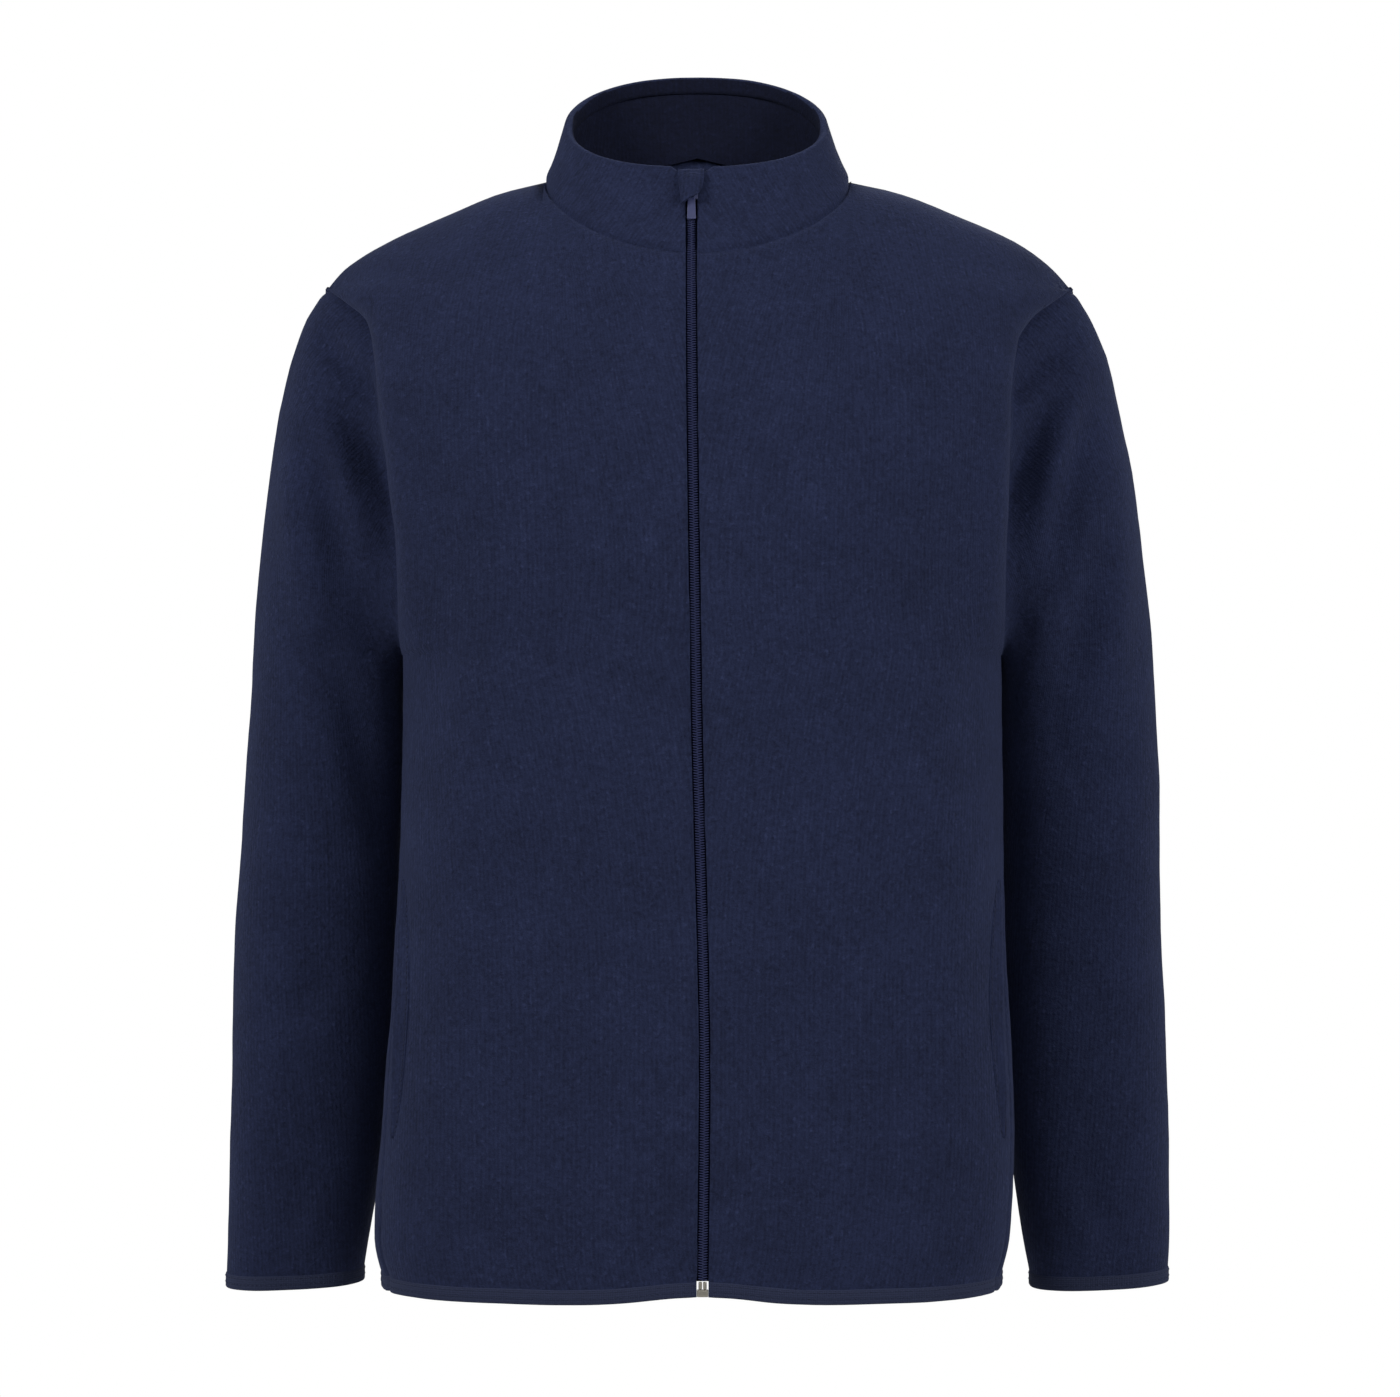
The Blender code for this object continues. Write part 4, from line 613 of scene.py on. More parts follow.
def crease(piece, seed, drape, roll=1.0):
    """Folds, soft unevenness, and the roll and pucker of the cloth along its seams."""
    d = piece.near
    away = 1 - np.exp(-((d / FOLD_FADE) ** 2))
    push = fold_field(piece.name, piece.points, piece.ways)
    slow = rumple(piece.points, BROAD_WAVES, seed) * 0.6 + rumple(piece.points, MIDDLE_WAVES, seed + 3) * 0.4
    fine = rumple(piece.points, SMALL_WAVES, seed + 5)
    raise_by = -push * away + slow * drape * away + fine * drape * 0.10 * away
    pucker = rumple(piece.points, PUCKER_WAVES, seed + 9) * np.exp(-d / PUCKER_REACH) * (d > 0)
    raise_by += roll * PUCKER_HEIGHT * pucker
    raise_by += roll * PUFF_HEIGHT * np.exp(-(((d - PUFF_PLACE) / PUFF_WIDTH) ** 2))
    raise_by -= roll * ROLL_DEPTH * np.exp(-((d / ROLL_WIDTH) ** 2))
    if piece.name.startswith("sleeve"):
        tuck = TUCK * smooth_step(d / TUCK_RISE) * np.exp(-((d / TUCK_REACH) ** 2))
        z = piece.points[..., 2]
        between = smooth_step((TUCK_TOP - z) / TUCK_EASE) * smooth_step((z - TUCK_FOOT) / TUCK_EASE)
        raise_by -= tuck * between * np.abs(piece.ways[..., 1]) ** 0.6
    piece.points = piece.points + piece.ways * raise_by[..., None]


def numbered(bm, points):
    """Numbers the vertices and puts each at its point."""
    number = bm.verts.layers.int.new("number")
    for k, vert in enumerate(bm.verts):
        vert[number] = k
        vert.co = points[k]
    return number


def lay_flat(bm, number, flat):
    """A UV map in metres along the cloth."""
    layer = bm.loops.layers.uv.new("cloth")
    for face in bm.faces:
        for loop in face.loops:
            loop[layer].uv = flat[loop.vert[number]]


def placed(name, bm, finish, smooth_angle=None):
    mesh = bpy.data.meshes.new(name)
    bm.to_mesh(mesh)
    bm.free()
    mesh.shade_smooth()
    if smooth_angle:
        mesh.set_sharp_from_angle(angle=math.radians(smooth_angle))
    mesh.materials.append(finish)
    made = bpy.data.objects.new(name, mesh)
    bpy.context.scene.collection.objects.link(made)
    return made


def grid_mesh(points, flat):
    """(bmesh, number layer) of a grid with its vertices at the points and its cloth laid flat."""
    columns, rows = points.shape[:2]
    bm = bmesh.new()
    bmesh.ops.create_grid(bm, x_segments=columns - 1, y_segments=rows - 1, size=1)
    number = numbered(bm, points.transpose(1, 0, 2).reshape(-1, 3))
    lay_flat(bm, number, flat.transpose(1, 0, 2).reshape(-1, 2))
    return bm, number


def grid_sheet(name, points, flat, ways, finish, wall, closed=False):
    """A sheet over a grid of points, facing along ways, with its wall on the inner side."""
    bm, number = grid_mesh(points, flat)
    if closed:
        bmesh.ops.remove_doubles(bm, verts=bm.verts, dist=1e-6)
    bm.normal_update()
    order = ways.transpose(1, 0, 2).reshape(-1, 3)
    agree = sum(vert.normal @ Vector(order[vert[number]]) for vert in bm.verts)
    if agree < 0:
        bmesh.ops.reverse_faces(bm, faces=bm.faces)
    made = placed(name, bm, finish)
    if wall:
        solid = made.modifiers.new("wall", "SOLIDIFY")
        solid.thickness, solid.offset = wall, -1
    return made


def tube_band(name, path, ways, drops, section, finish, closed=False):
    """A strip swept along a path: section holds (out, along the drop) pairs, going round it once."""
    ring = [path + ways * o + drops * d for o, d in section]
    points = np.stack(ring + ring[:1], axis=1)
    bm = grid_mesh(points, flat_places(points))[0]
    bmesh.ops.remove_doubles(bm, verts=bm.verts, dist=1e-6)
    if not closed:
        bmesh.ops.holes_fill(bm, edges=bm.edges, sides=len(section) + 1)
    bmesh.ops.recalc_face_normals(bm, faces=bm.faces)
    return placed(name, bm, finish, 60)


def rounded_section(thick, low, high, ease, steps=4):
    """A flat bar's section with rounded corners, as (out, drop) pairs; out is 0 at its middle."""
    pairs = []
    corners = ((1, high, 0), (-1, high, 90), (-1, low, 180), (1, low, 270))
    for way, drop, start in corners:
        centre = (way * (thick / 2 - ease), drop + (ease if drop == low else -ease))
        for i in range(steps + 1):
            turn = math.radians(start + 90 * i / steps)
            pairs.append((centre[0] + ease * math.cos(turn), centre[1] + ease * math.sin(turn)))
    return pairs


def beads(name, places, size, finish, fineness=1):
    """Small rounded beads, each at a place with its own three directions, as one mesh."""
    bm = bmesh.new()
    bmesh.ops.create_icosphere(bm, subdivisions=fineness, radius=0.5)
    bead = np.array([vert.co for vert in bm.verts]) * size
    total = len(bead) * len(places)
    while len(bm.verts) < total:
        bmesh.ops.duplicate(bm, geom=[*bm.verts, *bm.edges, *bm.faces])
    bm.verts.ensure_lookup_table()
    bmesh.ops.delete(bm, geom=bm.verts[total:], context="VERTS")
    points = np.concatenate([place + bead @ np.array(axes) for place, axes in places])
    for vert, point in zip(bm.verts, points):
        vert.co = point
    bmesh.ops.recalc_face_normals(bm, faces=bm.faces)
    return placed(name, bm, finish)


def between_steps(line, steps, at):
    """The vectors of a line at these distances along it."""
    return np.stack([np.interp(at, steps, line[:, k]) for k in range(3)], axis=-1)


def stitches(name, path, ways, finish):
    """Stitches laid end to end along a path on the cloth."""
    steps = run_along(path, 0)
    at = (np.arange(int(steps[-1] / STITCH_PITCH)) + 0.5) * STITCH_PITCH
    places = between_steps(path, steps, at)
    out = unit(between_steps(ways, steps, at))
    run = unit(between_steps(path, steps, at + STITCH_PITCH / 2) - places + 1e-9)
    beside = unit(np.cross(out, run))
    out = np.cross(run, beside)
    rows = [(p, (r, b, o)) for p, r, b, o in zip(places, run, beside, out)]
    return beads(name, rows, STITCH_SIZE, finish)


class Wire:
    """A socket in a material, for maths written as expressions."""

    def __init__(self, shop, socket):
        self.shop, self.socket = shop, socket

    def maths(self, kind, *values, clamp=False):
        settings = {"operation": kind, "use_clamp": clamp}
        return self.shop.node("ShaderNodeMath", settings, dict(enumerate(values)))

    def __add__(self, other):
        return self.maths("ADD", self, other)

    def __sub__(self, other):
        return self.maths("SUBTRACT", self, other)

    def __rsub__(self, other):
        return self.maths("SUBTRACT", other, self)

    def __mul__(self, other):
        return self.maths("MULTIPLY", self, other)

    __radd__, __rmul__ = __add__, __mul__

    def clamp(self):
        return self.maths("ADD", self, 0.0, clamp=True)

    def sine(self):
        return self.maths("SINE", self)


class Finish:
    """A material's node tree, with one method that makes any node."""

    def __init__(self, name, roughness, metallic=0.0, sheen=0.0, sheen_tint=(1, 1, 1, 1), specular=0.5):
        self.material = bpy.data.materials.new(name)
        self.material.use_nodes = True
        self.tree = self.material.node_tree
        self.shader = self.tree.nodes["Principled BSDF"]
        for socket, value in (
            ("Roughness", roughness), ("Metallic", metallic), ("Sheen Weight", sheen),
            ("Sheen Roughness", 0.45), ("Sheen Tint", sheen_tint), ("Specular IOR Level", specular),
        ):
            self.shader.inputs[socket].default_value = value

    def node(self, kind, settings, inputs, output=0):
        made = self.tree.nodes.new(kind)
        for key, value in settings.items():
            setattr(made, key, value)
        for key, value in inputs.items():
            if isinstance(value, Wire):
                self.tree.links.new(value.socket, made.inputs[key])
            else:
                made.inputs[key].default_value = value
        return Wire(self, made.outputs[output])

    def place(self):
        return self.node("ShaderNodeTexCoord", {}, {}, "Object")

    def cloth_place(self):
        return self.node("ShaderNodeUVMap", {"uv_map": "cloth"}, {})

    def stretched(self, vector, scale):
        return self.node("ShaderNodeVectorMath", {"operation": "MULTIPLY"}, {0: vector, 1: scale})

    def noise(self, vector, scale, detail=2.0, roughness=0.5):
        inputs = {"Vector": vector, "Scale": scale, "Detail": detail, "Roughness": roughness}
        return self.node("ShaderNodeTexNoise", {}, inputs, "Fac")

    def cells(self, vector, scale, output="Distance"):
        return self.node("ShaderNodeTexVoronoi", {}, {"Vector": vector, "Scale": scale}, output)

    def part(self, vector, axis):
        return self.node("ShaderNodeSeparateXYZ", {}, {0: vector}, axis)

    def ramp(self, value, low, high):
        inputs = {"Value": value, "From Min": low, "From Max": high}
        return self.node("ShaderNodeMapRange", {"clamp": True}, inputs, "Result")

    def blend(self, share, one, other):
        return self.node("ShaderNodeMix", {"data_type": "RGBA"}, {"Factor": share, 6: one, 7: other}, 2)

    def colour(self, wire):
        self.tree.links.new(wire.socket, self.shader.inputs["Base Color"])

    def rough(self, value, low, high):
        range_of = {"Value": value, "To Min": low, "To Max": high}
        made = self.node("ShaderNodeMapRange", {}, range_of, "Result")
        self.tree.links.new(made.socket, self.shader.inputs["Roughness"])

    def bump(self, height, distance, strength=1.0):
        inputs = {"Height": height, "Distance": distance, "Strength": strength}
        made = self.node("ShaderNodeBump", {}, inputs, "Normal")
        self.tree.links.new(made.socket, self.shader.inputs["Normal"])


def fleece(name, deep, middle, light, sheen):
    """Brushed fleece: a fine matted nap in clumps, over faint upright wales."""
    made = Finish(name, 0.92, sheen=sheen, sheen_tint=(0.40, 0.50, 1.0, 1), specular=0.16)
    at, laid = made.place(), made.cloth_place()
    nap = made.noise(at, 1250, 3, 0.65)
    clumps = made.noise(at, 330, 2, 0.6)
    cloudy = made.noise(at, 26, 3, 0.55)
    pills = made.ramp(made.cells(at, 210), 0.36, 0.10)
    streak = made.noise(made.stretched(laid, (420, 45, 1)), 1, 2, 0.5)
    wander = made.noise(at, 40, 1) * 2.2
    wales = (made.part(laid, "X") * (2 * math.pi / 0.0027) + wander).sine() * 0.5 + 0.5
    tone = nap * 0.46 + clumps * 0.38 + cloudy * 0.16 + streak * 0.14 + wales * 0.05 - 0.10
    shade = made.blend(made.ramp(tone, 0.34, 0.56), deep, middle)
    made.colour(made.blend(made.ramp(tone + pills * 0.10, 0.56, 0.84), shade, light))
    made.bump(nap * 0.60 + clumps * 0.80 + pills * 0.35 + streak * 0.16 + wales * 0.12, 0.0011, 0.6)
    return made.material


def knit_binding(name, deep, light):
    """A fine flat knit across the bound edge."""
    made = Finish(name, 0.8, sheen=0.08, sheen_tint=(0.40, 0.50, 1.0, 1), specular=0.2)
    at, laid = made.place(), made.cloth_place()
    ribs = (made.part(laid, "X") * (2 * math.pi / 0.0011)).sine() * 0.5 + 0.5
    rows = (made.part(laid, "Y") * (2 * math.pi / 0.0014)).sine() * 0.5 + 0.5
    fibres = made.noise(at, 900, 2)
    tone = (ribs * 0.4 + rows * 0.25 + fibres * 0.5).clamp()
    made.colour(made.blend(tone, deep, light))
    made.bump(ribs * 0.5 + rows * 0.3 + fibres * 0.4, 0.0005, 0.5)
    return made.material


def woven_tape(name, deep, light):
    made = Finish(name, 0.85, specular=0.06)
    at = made.place()
    across = (made.part(at, "X") * (2 * math.pi / 0.0008)).sine() * 0.5 + 0.5
    down = (made.part(at, "Z") * (2 * math.pi / 0.0010)).sine() * 0.5 + 0.5
    weave = across * down + made.noise(at, 1100, 2) * 0.3
    made.colour(made.blend(weave.clamp(), deep, light))
    made.bump(weave, 0.0003, 0.5)
    return made.material


def moulded(name, deep, light, roughness, specular):
    """Nylon or thread, a little uneven in gloss."""
    made = Finish(name, roughness, specular=specular)
    at = made.place()
    fine = made.noise(at, 700, 2)
    made.colour(made.blend(fine, deep, light))
    made.rough(fine, roughness - 0.08, roughness + 0.1)
    made.bump(fine, 0.00015, 0.3)
    return made.material


def cast_metal(name, deep, light, roughness, metallic):
    """Small die-cast metal: faint tumbling marks, uneven in tone and gloss."""
    made = Finish(name, roughness, metallic=metallic)
    at = made.place()
    marks = made.noise(made.stretched(at, (900, 900, 380)), 1, 3, 0.6)
    wear = made.noise(at, 260, 2)
    made.colour(made.blend((marks * 0.4 + wear * 0.6).clamp(), deep, light))
    made.rough(marks, roughness - 0.1, roughness + 0.15)
    made.bump(marks, 0.0001, 0.35)
    return made.material


def rgb(r, g, b):
    return (r, g, b, 1)


NAP = fleece(
    "fleece_nap", rgb(0.0054, 0.0078, 0.0232), rgb(0.0138, 0.0194, 0.0535),
    rgb(0.0290, 0.0385, 0.0960), 0.10,
)
# The same fleece about four times darker: painted shade for the collar's inside, its facing and the pocket
# layer.
NAP_PAINTED_SHADE = fleece(
    "fleece_painted_shade", rgb(0.0014, 0.0021, 0.0080), rgb(0.0036, 0.0052, 0.0180),
    rgb(0.0080, 0.0112, 0.0340), 0.02,
)
# Near-black fleece for the sheet in the pocket slit: painted shade.
SLIT_PAINTED_SHADE = fleece(
    "pocket_slit_painted_shade", rgb(0.0008, 0.0011, 0.0036), rgb(0.0016, 0.0022, 0.0070),
    rgb(0.0032, 0.0044, 0.0120), 0.0,
)
BOUND = knit_binding("edge_binding", rgb(0.0085, 0.0115, 0.0300), rgb(0.0230, 0.0300, 0.0680))
# The zip tape's navy darkened nearly to black: partly its own colour, partly painted shade for the gaps
# beside the coil.
SHADED_TAPE = woven_tape("zip_tape", rgb(0.0010, 0.0014, 0.0060), rgb(0.0030, 0.0042, 0.0150))
COIL = moulded("zip_coil", rgb(0.0095, 0.0125, 0.0430), rgb(0.0270, 0.0340, 0.0980), 0.50, 0.20)
THREAD = moulded("stitch_thread", rgb(0.0100, 0.0135, 0.0370), rgb(0.0220, 0.0290, 0.0700), 0.65, 0.25)
PULL = cast_metal("painted_pull", rgb(0.0220, 0.0270, 0.0800), rgb(0.0380, 0.0470, 0.1300), 0.45, 0.0)
# A paler, partly metallic finish on the lowest 1.9 mm of the pull tab.
PULL_RIM = cast_metal("pale_rim", rgb(0.0700, 0.0800, 0.1900), rgb(0.1200, 0.1350, 0.2900), 0.36, 0.30)
NICKEL = cast_metal("pale_nickel", rgb(0.3600, 0.3300, 0.2700), rgb(0.6200, 0.5900, 0.5200), 0.34, 1.0)


def cut_pieces():
    """Every cloth piece of the garment on its grid, before it is creased."""
    core = np.array([0, -0.01, -0.35])
    back = np.concatenate([body_grid(RIGHT, BACK)[::-1], body_grid(LEFT, BACK)[1:]])
    pieces = {"back": Piece("back", back, core)}
    for word, side in SIDES.items():
        pieces["front_" + word] = Piece("front_" + word, body_grid(side, FRONT), core)
        points = sleeve_grid(side)
        centre = points[:-1].mean(axis=0)
        sleeve = pieces["sleeve_" + word] = Piece("sleeve_" + word, points, centre, closed=True)
        sleeve.near = sleeve.down
    points, ways = collar_grid()
    collar = pieces["collar"] = Piece("collar", points, ways=ways)
    collar.near = np.minimum(collar.down, collar.near + COLLAR_EDGE_EASE)
    points, ways = facing_grid()
    facing = pieces["collar_facing"] = Piece("collar_facing", points, ways=ways)
    facing.near = np.minimum(facing.near, facing.down)
    return pieces


pieces = cut_pieces()
SEWN = ("back", "front_right", "front_left", "sleeve_right", "sleeve_left", "collar")
share_seams([pieces[name] for name in SEWN])
DRAPE = {
    "back": 0.0022, "front_right": 0.0011, "front_left": 0.0011, "sleeve_right": 0.0018,
    "sleeve_left": 0.0018, "collar": 0.0006, "collar_facing": 0.0006,
}
FACING_ROLL = 0.45
for seed, (name, piece) in enumerate(pieces.items()):
    crease(piece, seed * 2.0 + 1, DRAPE[name], FACING_ROLL if name == "collar_facing" else 1.0)

cloth = {}
for name, piece in pieces.items():
    # The collar facing takes the darker fleece copy, painted shade.
    finish = NAP_PAINTED_SHADE if name == "collar_facing" else NAP
    made = grid_sheet("cloth_" + name, piece.points, piece.flat, piece.ways, finish, WALL, piece.closed)
    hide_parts(name)
    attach(made, "jacket")
    "fleece_inside" if name == "collar_facing" else "fleece"
    cloth[name] = made

# The collar's turned edge and inner leg take the darker copy of the fleece as painted shade.
cloth["collar"].data.materials.append(NAP_PAINTED_SHADE)
for face in cloth["collar"].data.polygons:
    away = face.normal.x * face.center.x + face.normal.y * (face.center.y - COLLAR_MIDDLE)
    face.material_index = int(away < 0 and face.normal.z < 0.6)


def add(made, slot, *nodes, body="jacket"):
    """Puts a finished piece on its body, in place of any solids that it stands for; the slot is not used."""
    if nodes:
        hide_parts(*nodes)
    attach(made, body)
    return made


def hem_edge():
    order = [("front_right", slice(None)), ("back", slice(1, None)), ("front_left", slice(-2, None, -1))]
    path = np.concatenate([pieces[name].points[part, 0] for name, part in order])
    ways = np.concatenate([pieces[name].ways[part, 0] for name, part in order])
    ways = unit(ways * (1, 1, 0.2))
    return path, ways


DOWN = np.array([0, 0, -1.0])
BINDING_THICK, BINDING_LAP, BINDING_EASE = 0.0033, 0.0016, 0.0012


def bound_edge(name, path, ways, seed, closed):
    """The folded strip over a raw edge, slightly puckered, with a row of stitches near its top."""
    wave = np.array([noise.noise(Vector(p * 55 + seed)) for p in path])[:, None]
    middle = path - ways * WALL / 2 + ways * wave * 0.0004
    drops = np.broadcast_to(DOWN, path.shape) + ways * wave * 0.03
    section = rounded_section(BINDING_THICK, -BINDING_LAP, BINDING_DEPTH, BINDING_EASE)
    band = tube_band(name, middle, ways, drops, section, BOUND, closed)
    surface = middle + ways * (BINDING_THICK / 2 + 0.0001)
    lines = [stitches(name + "_stitch", surface + drops * 0.0004, ways, THREAD)]
    lines.append(stitches(name + "_stitch_low", surface + drops * 0.0042, ways, THREAD))
    return band, lines


path, ways = hem_edge()
hem, hem_lines = bound_edge("hem_band", path, ways, 2.0, False)
add(hem, "binding", "hem_binding")
trims = {"back": [hem, *hem_lines]}
for line in hem_lines:
    add(line, "binding")
for word in SIDES:
    piece = pieces["sleeve_" + word]
    path, ways = piece.points[:, -1], piece.ways[:, -1]
    cuff, cuff_lines = bound_edge("cuff_band_" + word, path, unit(ways * (1, 1, 0.2)), 5.0 + len(word), True)
    add(cuff, "binding", "cuff_binding_" + word)
    trims["sleeve_" + word] = [cuff, *cuff_lines]
    for line in cuff_lines:
        add(line, "binding")


def onto(piece, points, ways):
    """Moves points along their ways onto the creased cloth of a piece."""
    there = piece.points.reshape(-1, 3)
    moved = points.reshape(-1, 3).copy()
    for k, (point, way) in enumerate(zip(points.reshape(-1, 3), ways.reshape(-1, 3))):
        gaps = there - point
        apart = (gaps**2).sum(axis=1)
        near = np.argpartition(apart, 8)[:8]
        weight = 1 / (apart[near] + 1e-6)
        moved[k] += way * (weight @ (gaps[near] @ way)) / weight.sum()
    return moved.reshape(points.shape)


WELT_ROWS, WELT_COLUMNS = 90, 20
WELT_HEIGHT, WELT_ROUND, WELT_WALL = 0.0050, 0.18, 0.0014
WELT_WIDTH, WELT_END = 0.0105, 0.0022
# The mouth sheet: a near-black strip in the pocket's slit, painted shade.
MOUTH_WIDTH, MOUTH_HEIGHT, MOUTH_COLUMNS = 0.0026, 0.0012, 6


def pocket_line(side, across, b):
    """(points, ways) beside the mouth of a pocket: across is in metres from its edge towards the zip."""
    z = POCKET_TOP + (POCKET_END - POCKET_TOP) * b + 0 * across
    seam = 90 - along(TRUNK, "seam_turn", z) * SEAM_SHARE
    turn = seam - WELT_INSET - across * TURN_PER_METRE
    points = trunk_point(side, turn, z)
    step = trunk_point(side, turn + 1, z) - trunk_point(side, turn - 1, z)
    way = unit(np.cross(step, trunk_point(side, turn, z + 0.01) - trunk_point(side, turn, z - 0.01)))
    way = way * np.sign(way[..., :1] * side)
    return onto(pieces["front_" + side_word(side)], points, way), way


def welt(word, side):
    """The folded, padded edge of a pocket's mouth, stitched down on its inner side, and a near-black sheet in
    the slit as painted shade.
    """
    b = np.linspace(0, 1, WELT_ROWS + 1)[None, :]
    a = np.linspace(0, 1, WELT_COLUMNS + 1)[:, None] ** 1.4
    width = WELT_END + (WELT_WIDTH - WELT_END) * np.sin(math.pi * b**0.85) ** 0.7
    points, way = pocket_line(side, width * a, b)
    edge = np.sqrt(1 - (1 - np.minimum(a / WELT_ROUND, 1)) ** 2)
    swell = np.sin(math.pi * np.clip(b, 0.03, 0.97)) ** 0.45
    height = WELT_HEIGHT * edge * (1 - 0.82 * smooth_step(a)) * swell - 0.0004
    points = points + way * (height + rumple(points, 70, side) * 0.0004)[..., None]
    made = grid_sheet("pocket_edge_" + word, points, flat_places(points), way, NAP, WELT_WALL)
    add(made, "fleece", "pocket_welt_" + word)
    line = stitches("pocket_stitch_" + word, points[-3] + way[-3] * 0.0003, way[-3], THREAD)
    add(line, "fleece")
    # A near-black sheet in the slit, painted shade.
    a = np.linspace(-1, 1, MOUTH_COLUMNS + 1)[:, None]
    points, way = pocket_line(side, MOUTH_WIDTH * (a - 0.35) * np.sin(math.pi * b) ** 0.4, b)
    points = points + way * (MOUTH_HEIGHT * (1 - a**2) - 0.0001)[..., None]
    mouth = grid_sheet("pocket_mouth_shade_" + word, points, flat_places(points), way, SLIT_PAINTED_SHADE, 0.0006)
    return made, line, add(mouth, "fleece_inside")


def pocket_bag(word, side):
    """The pocket's inner layer, behind the front's cloth."""
    piece = pieces["front_" + word]
    low, high = (np.array(corner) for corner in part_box("pocket_bag_" + word))
    inner_x = min(abs(low[0]), abs(high[0]))
    middle = piece.points[:, LOW_ROWS // 2]
    columns = np.flatnonzero(side * middle[:, 0] > inner_x)[:-8]
    rows = np.flatnonzero((piece.points[0, :, 2] > low[2]) & (piece.points[0, :, 2] < high[2]))
    part = np.ix_(columns, rows)
    points = piece.points[part] - piece.ways[part] * (WALL + 0.0010)
    # The pocket layer takes the darker fleece copy, painted shade.
    made = grid_sheet("pocket_layer_" + word, points, piece.flat[part], piece.ways[part], NAP_PAINTED_SHADE, 0.0012)
    add(made, "fleece_inside", "pocket_bag_" + word)
    return made


for word, side in SIDES.items():
    trims["front_" + word] = [*welt(word, side), pocket_bag(word, side)]


def zip_path():
    """The zip's line on the fronts' outer face, from its foot to its head, and the way out of it."""
    body = body_grid(RIGHT, FRONT)[0][:, 1:]
    collar = collar_grid()[0][0][: COLLAR_ROWS + 5, 1:]
    line = np.concatenate([body[:-3], collar[3:]])
    z = np.linspace(ZIP_FOOT, ZIP_HEAD, 260)
    y = np.interp(z, line[:, 1], line[:, 0])
    y = np.convolve(np.pad(y, 4, mode="edge"), np.ones(9) / 9, mode="valid")
    points = np.stack([zip_x(z), y, z], axis=-1)
    run = unit(np.gradient(points, axis=0) * (0, 1, 1))
    return points, np.stack([0 * z, -run[:, 2], run[:, 1]], axis=-1)


def zip_side(word, side, points, ways):
    x = np.broadcast_to(np.array([side, 0.0, 0.0]), points.shape)
    section = [(-depth, reach) for depth, reach in (
        (TAPE_FRONT, TAPE_EDGE), (TAPE_FRONT, TAPE_WIDTH), (TAPE_BACK, TAPE_WIDTH), (TAPE_BACK, TAPE_EDGE)
    )]
    # The tape seen in the gaps beside the coil is darkened as painted shade.
    tape = add(tube_band("tape_" + word, points, ways, x, section, SHADED_TAPE), "zip_tape", "zip_" + word)
    steps = run_along(points, 0)
    at = np.arange(0.5 if side == LEFT else 1.0, steps[-1] / TOOTH_PITCH) * TOOTH_PITCH
    lean = math.radians(TOOTH_LEAN)
    teeth = []
    for s in at:
        out = unit(between_steps(ways, steps, s))
        place = between_steps(points, steps, s) + np.array([side * TOOTH_OUT, 0, 0]) - out * TOOTH_DEEP
        up = np.array([0, -out[2], out[1]]) * -1
        long_way = np.array([side, 0, 0]) * math.cos(lean) + up * math.sin(lean)
        teeth.append((place, (long_way, np.cross(out, long_way), out)))
    coil = add(beads("coil_" + word, teeth, TOOTH_SIZE, COIL, 2), "zip_tape")
    return tape, coil


points, ways = zip_path()
for word, side in SIDES.items():
    trims["front_" + word] += zip_side(word, side, points, ways)


def guard():
    """The flap over the top of the zip: up inside the collar, over its turned edge and down to its tip."""
    foot, rim, up, out = collar_frame()
    top = np.array([zip_x(np.array(0.0)), rim[0, 1], rim[0, 2]])
    down = unit((foot[0] - rim[0]) * (0, 1, 1))
    out = np.array([0, down[2], -down[1]])
    away = abs(rim[8, 0] - rim[0, 0])
    recede = max(((rim[0] - rim[8]) @ out) / away, 0)
    step = np.linspace(0, len(GUARD) - 1, (len(GUARD) - 1) * GUARD_STEPS + 1)[None, :]
    part = np.linspace(0, 1, GUARD_COLUMNS + 1)[:, None]
    right, left = along(GUARD, "right", step), along(GUARD, "left", step)
    x = -right + (right + left) * part
    turn = np.radians(along(GUARD, "turn", step)) + 0 * part
    way = np.cos(turn)[..., None] * out - np.sin(turn)[..., None] * down
    crown = along(GUARD, "bulge", step) * GUARD_BULGE * (1 - (x / GUARD_REACH) ** 2)
    drop = along(GUARD, "down", step) + along(GUARD, "tip", step) * GUARD_TIP_FALL * (1 - part)
    collar_height = np.linalg.norm(rim[0] - foot[0])
    height = 1 - np.maximum(drop, 0) * (step > 4) / collar_height
    drop = drop + corner_dip(zip_x(np.array(0.0)), height)
    strip = smooth_step((part - 0.80) / 0.06) * 0.0004 + smooth_step((step - 8.1) / 0.3) * 0.0003
    reach = COLLAR_FOLD + GUARD_CLEAR + GUARD_THICK + crown + strip
    behind = COLLAR_FOLD + recede * np.maximum(np.abs(x) - ZIP_OPENING, 0)
    points = top + x[..., None] * np.array([1.0, 0, 0]) + drop[..., None] * down
    points = points - behind[..., None] * out + way * reach[..., None]
    made = grid_sheet("guard_flap", points, flat_places(points), way, NAP, GUARD_THICK)
    edge = made.modifiers.new("edge", "BEVEL")
    edge.width, edge.segments, edge.limit_method, edge.angle_limit = 0.0004, 2, "ANGLE", math.radians(50)
    return add(made, "fleece", "zip_guard")


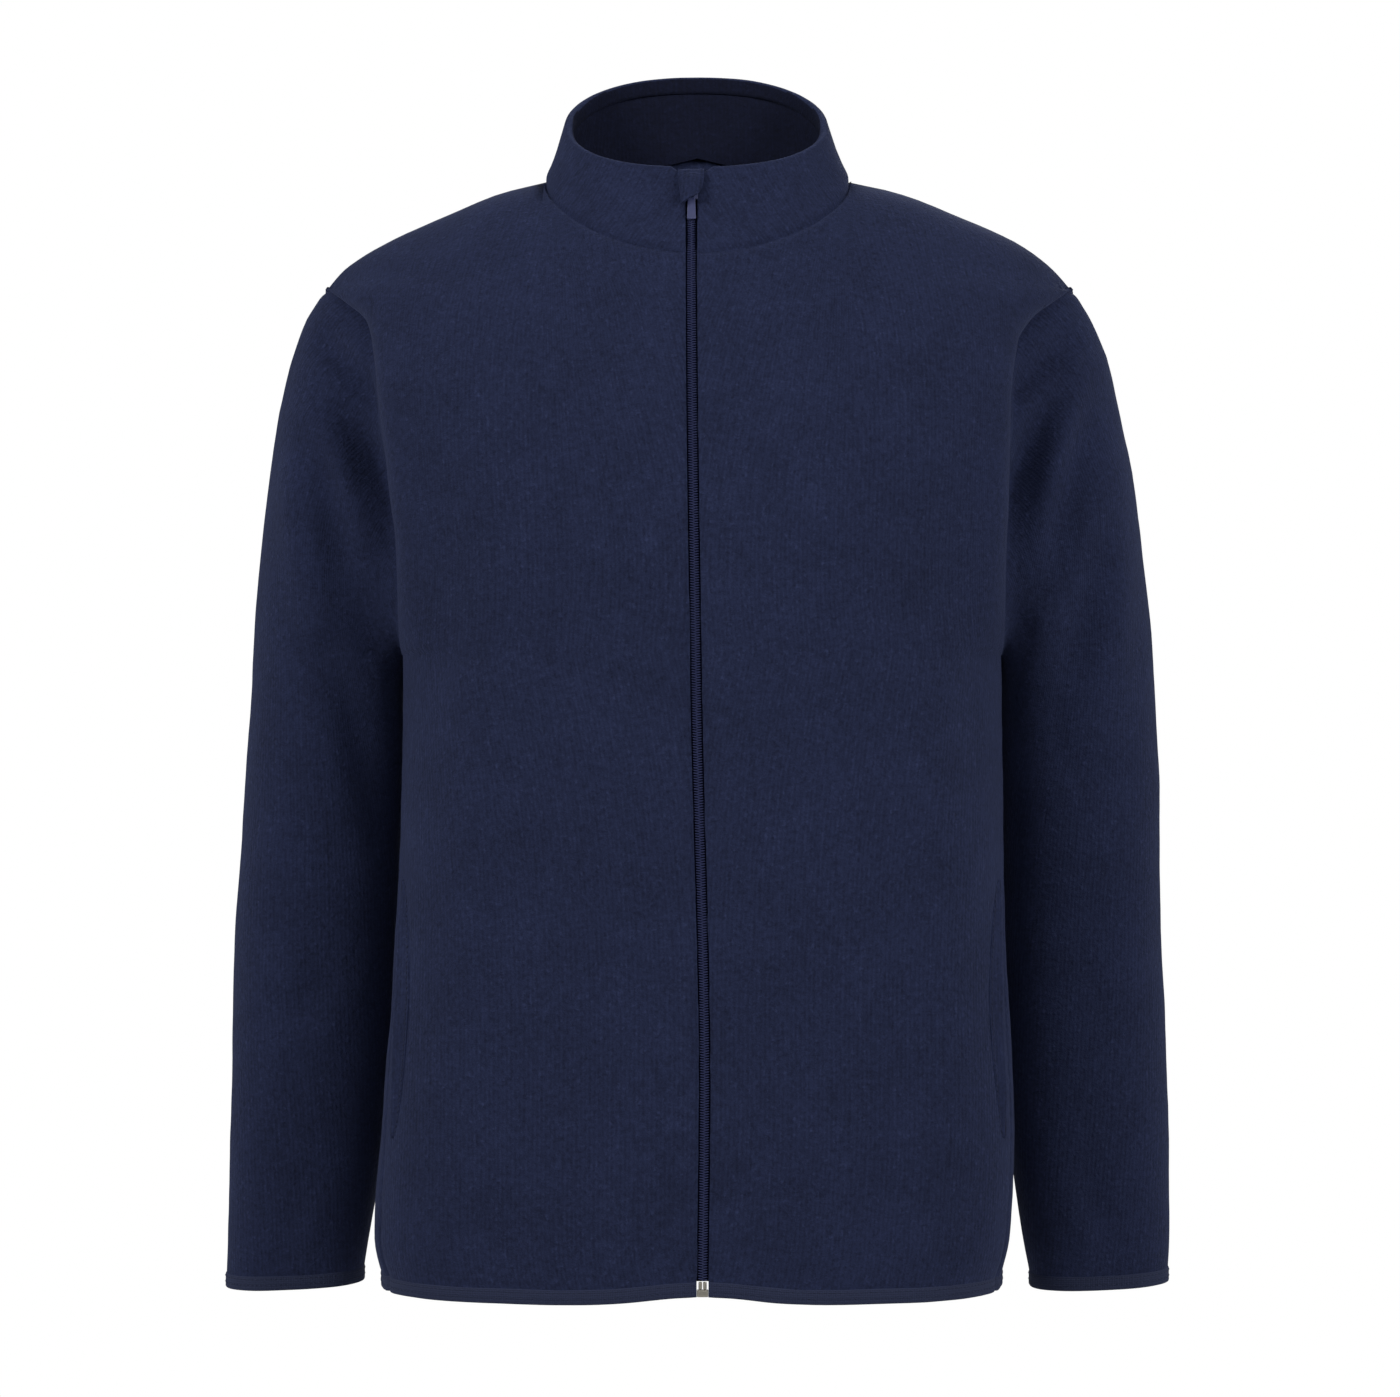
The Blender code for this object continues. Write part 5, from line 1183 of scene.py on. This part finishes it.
def eased(node, name, width, finish, slot, body="jacket", rim=None, rim_height=0.0):
    """A metal piece with its solid's shape and worn edges, and a rim of its own finish at its foot."""
    bm = bmesh.new()
    bm.from_mesh(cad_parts[node].data)
    bmesh.ops.remove_doubles(bm, verts=bm.verts, dist=1e-6)
    bmesh.ops.dissolve_limit(bm, angle_limit=math.radians(2), verts=bm.verts, edges=bm.edges)
    edges = [e for e in bm.edges if len(e.link_faces) == 2 and e.calc_face_angle() > math.radians(25)]
    bmesh.ops.bevel(
        bm, geom=edges, offset=width, offset_type="OFFSET", segments=3, profile=0.5, affect="EDGES",
        material=-1, clamp_overlap=True,
    )
    made = placed(name, bm, finish, 50)
    if rim:
        made.data.materials.append(rim)
        foot = min(vert.co.z for vert in made.data.vertices)
        for face in made.data.polygons:
            face.material_index = int(face.center.z < foot + rim_height)
    return add(made, slot, node, body=body)


flap = guard()
eased("zip_slider", "slider", 0.00028, PULL, "pull_paint")
eased("pull_tab", "pull", 0.00022, PULL, "pull_paint", "pull", PULL_RIM, 0.0019)
eased("zip_box", "foot_box", 0.00015, NICKEL, "nickel")
eased("zip_pin", "foot_pin", 0.00012, NICKEL, "nickel")
eased("zip_post", "foot_post", 0.00012, NICKEL, "nickel")

FLOOR, SWEEP, WALL_Y, WALL_TOP, STAGE_HALF = -0.98, 1.2, 5.0, 5.0, 7.0


def seen_only(tree, white, dim, output):
    """Shows the first shader to the camera and lights the scene with the second."""
    path = tree.nodes.new("ShaderNodeLightPath")
    mix = tree.nodes.new("ShaderNodeMixShader")
    tree.links.new(path.outputs["Is Camera Ray"], mix.inputs[0])
    tree.links.new(dim.outputs[0], mix.inputs[1])
    tree.links.new(white.outputs[0], mix.inputs[2])
    tree.links.new(mix.outputs[0], output.inputs["Surface"])


def stage():
    """A pale seamless floor that curves up into the wall behind."""
    turns = [math.radians(90 * i / 12) for i in range(13)]
    profile = [(-STAGE_HALF, FLOOR)]
    profile += [(WALL_Y - SWEEP + SWEEP * math.sin(t), FLOOR + SWEEP * (1 - math.cos(t))) for t in turns]
    profile.append((WALL_Y, WALL_TOP))
    bm = bmesh.new()
    line = [bm.verts.new((-STAGE_HALF, y, z)) for y, z in profile]
    edges = [bm.edges.new(pair) for pair in zip(line, line[1:])]
    made = bmesh.ops.extrude_edge_only(bm, edges=edges)["geom"]
    moved = [item for item in made if isinstance(item, bmesh.types.BMVert)]
    bmesh.ops.translate(bm, verts=moved, vec=(2 * STAGE_HALF, 0, 0))
    bmesh.ops.recalc_face_normals(bm, faces=bm.faces)
    finish = Finish("pale_paper", 1.0, specular=0.0)
    finish.shader.inputs["Base Color"].default_value = rgb(0.42, 0.42, 0.42)
    glow = finish.tree.nodes.new("ShaderNodeEmission")
    seen_only(finish.tree, glow, finish.shader, finish.tree.nodes["Material Output"])
    return placed("backdrop", bm, finish.material)


stage()

Lamp = namedtuple("Lamp", "name x y z size watts")
LAMPS = (
    Lamp("key", -2.3, -1.7, 1.1, 1.1, 62),
    Lamp("fill", 2.3, -1.8, 0.8, 1.1, 52),
    Lamp("front", 0.2, -2.9, 0.9, 1.4, 12),
    Lamp("edge_right", -1.9, 0.9, 0.2, 1.2, 5),
    Lamp("edge_left", 1.9, 0.9, 0.2, 1.2, 5),
    Lamp("rear", 0.4, 2.6, 0.9, 1.8, 26),
)
MIDDLE = Vector((0, 0, -0.33))
for lamp in LAMPS:
    light = bpy.data.lights.new(lamp.name, "AREA")
    light.shape, light.size, light.energy = "DISK", lamp.size, lamp.watts
    holder = bpy.data.objects.new(lamp.name, light)
    holder.location = (lamp.x, lamp.y, lamp.z)
    holder.rotation_euler = (MIDDLE - holder.location).to_track_quat("-Z", "Y").to_euler()
    bpy.context.scene.collection.objects.link(holder)

world = bpy.data.worlds.new("room")
world.use_nodes = True
room = world.node_tree.nodes["Background"]
room.inputs["Color"].default_value = rgb(0.94, 0.97, 1.0)
room.inputs["Strength"].default_value = 0.17
seen = world.node_tree.nodes.new("ShaderNodeBackground")
seen.inputs["Color"].default_value = rgb(1, 1, 1)
seen_only(world.node_tree, seen, room, world.node_tree.nodes["World Output"])
bpy.context.scene.world = world
bpy.context.scene.view_settings.view_transform = "Standard"

LENS, SENSOR = 100, 36
CAMERA_PLACE, LEVEL = (0.0016, -2.508, -0.3325), (math.radians(90), 0, 0)
camera = bpy.data.objects.new("camera", bpy.data.cameras.new("camera"))
camera.data.lens, camera.data.sensor_width = LENS, SENSOR
camera.location, camera.rotation_euler = CAMERA_PLACE, LEVEL
bpy.context.scene.collection.objects.link(camera)
bpy.context.scene.camera = camera
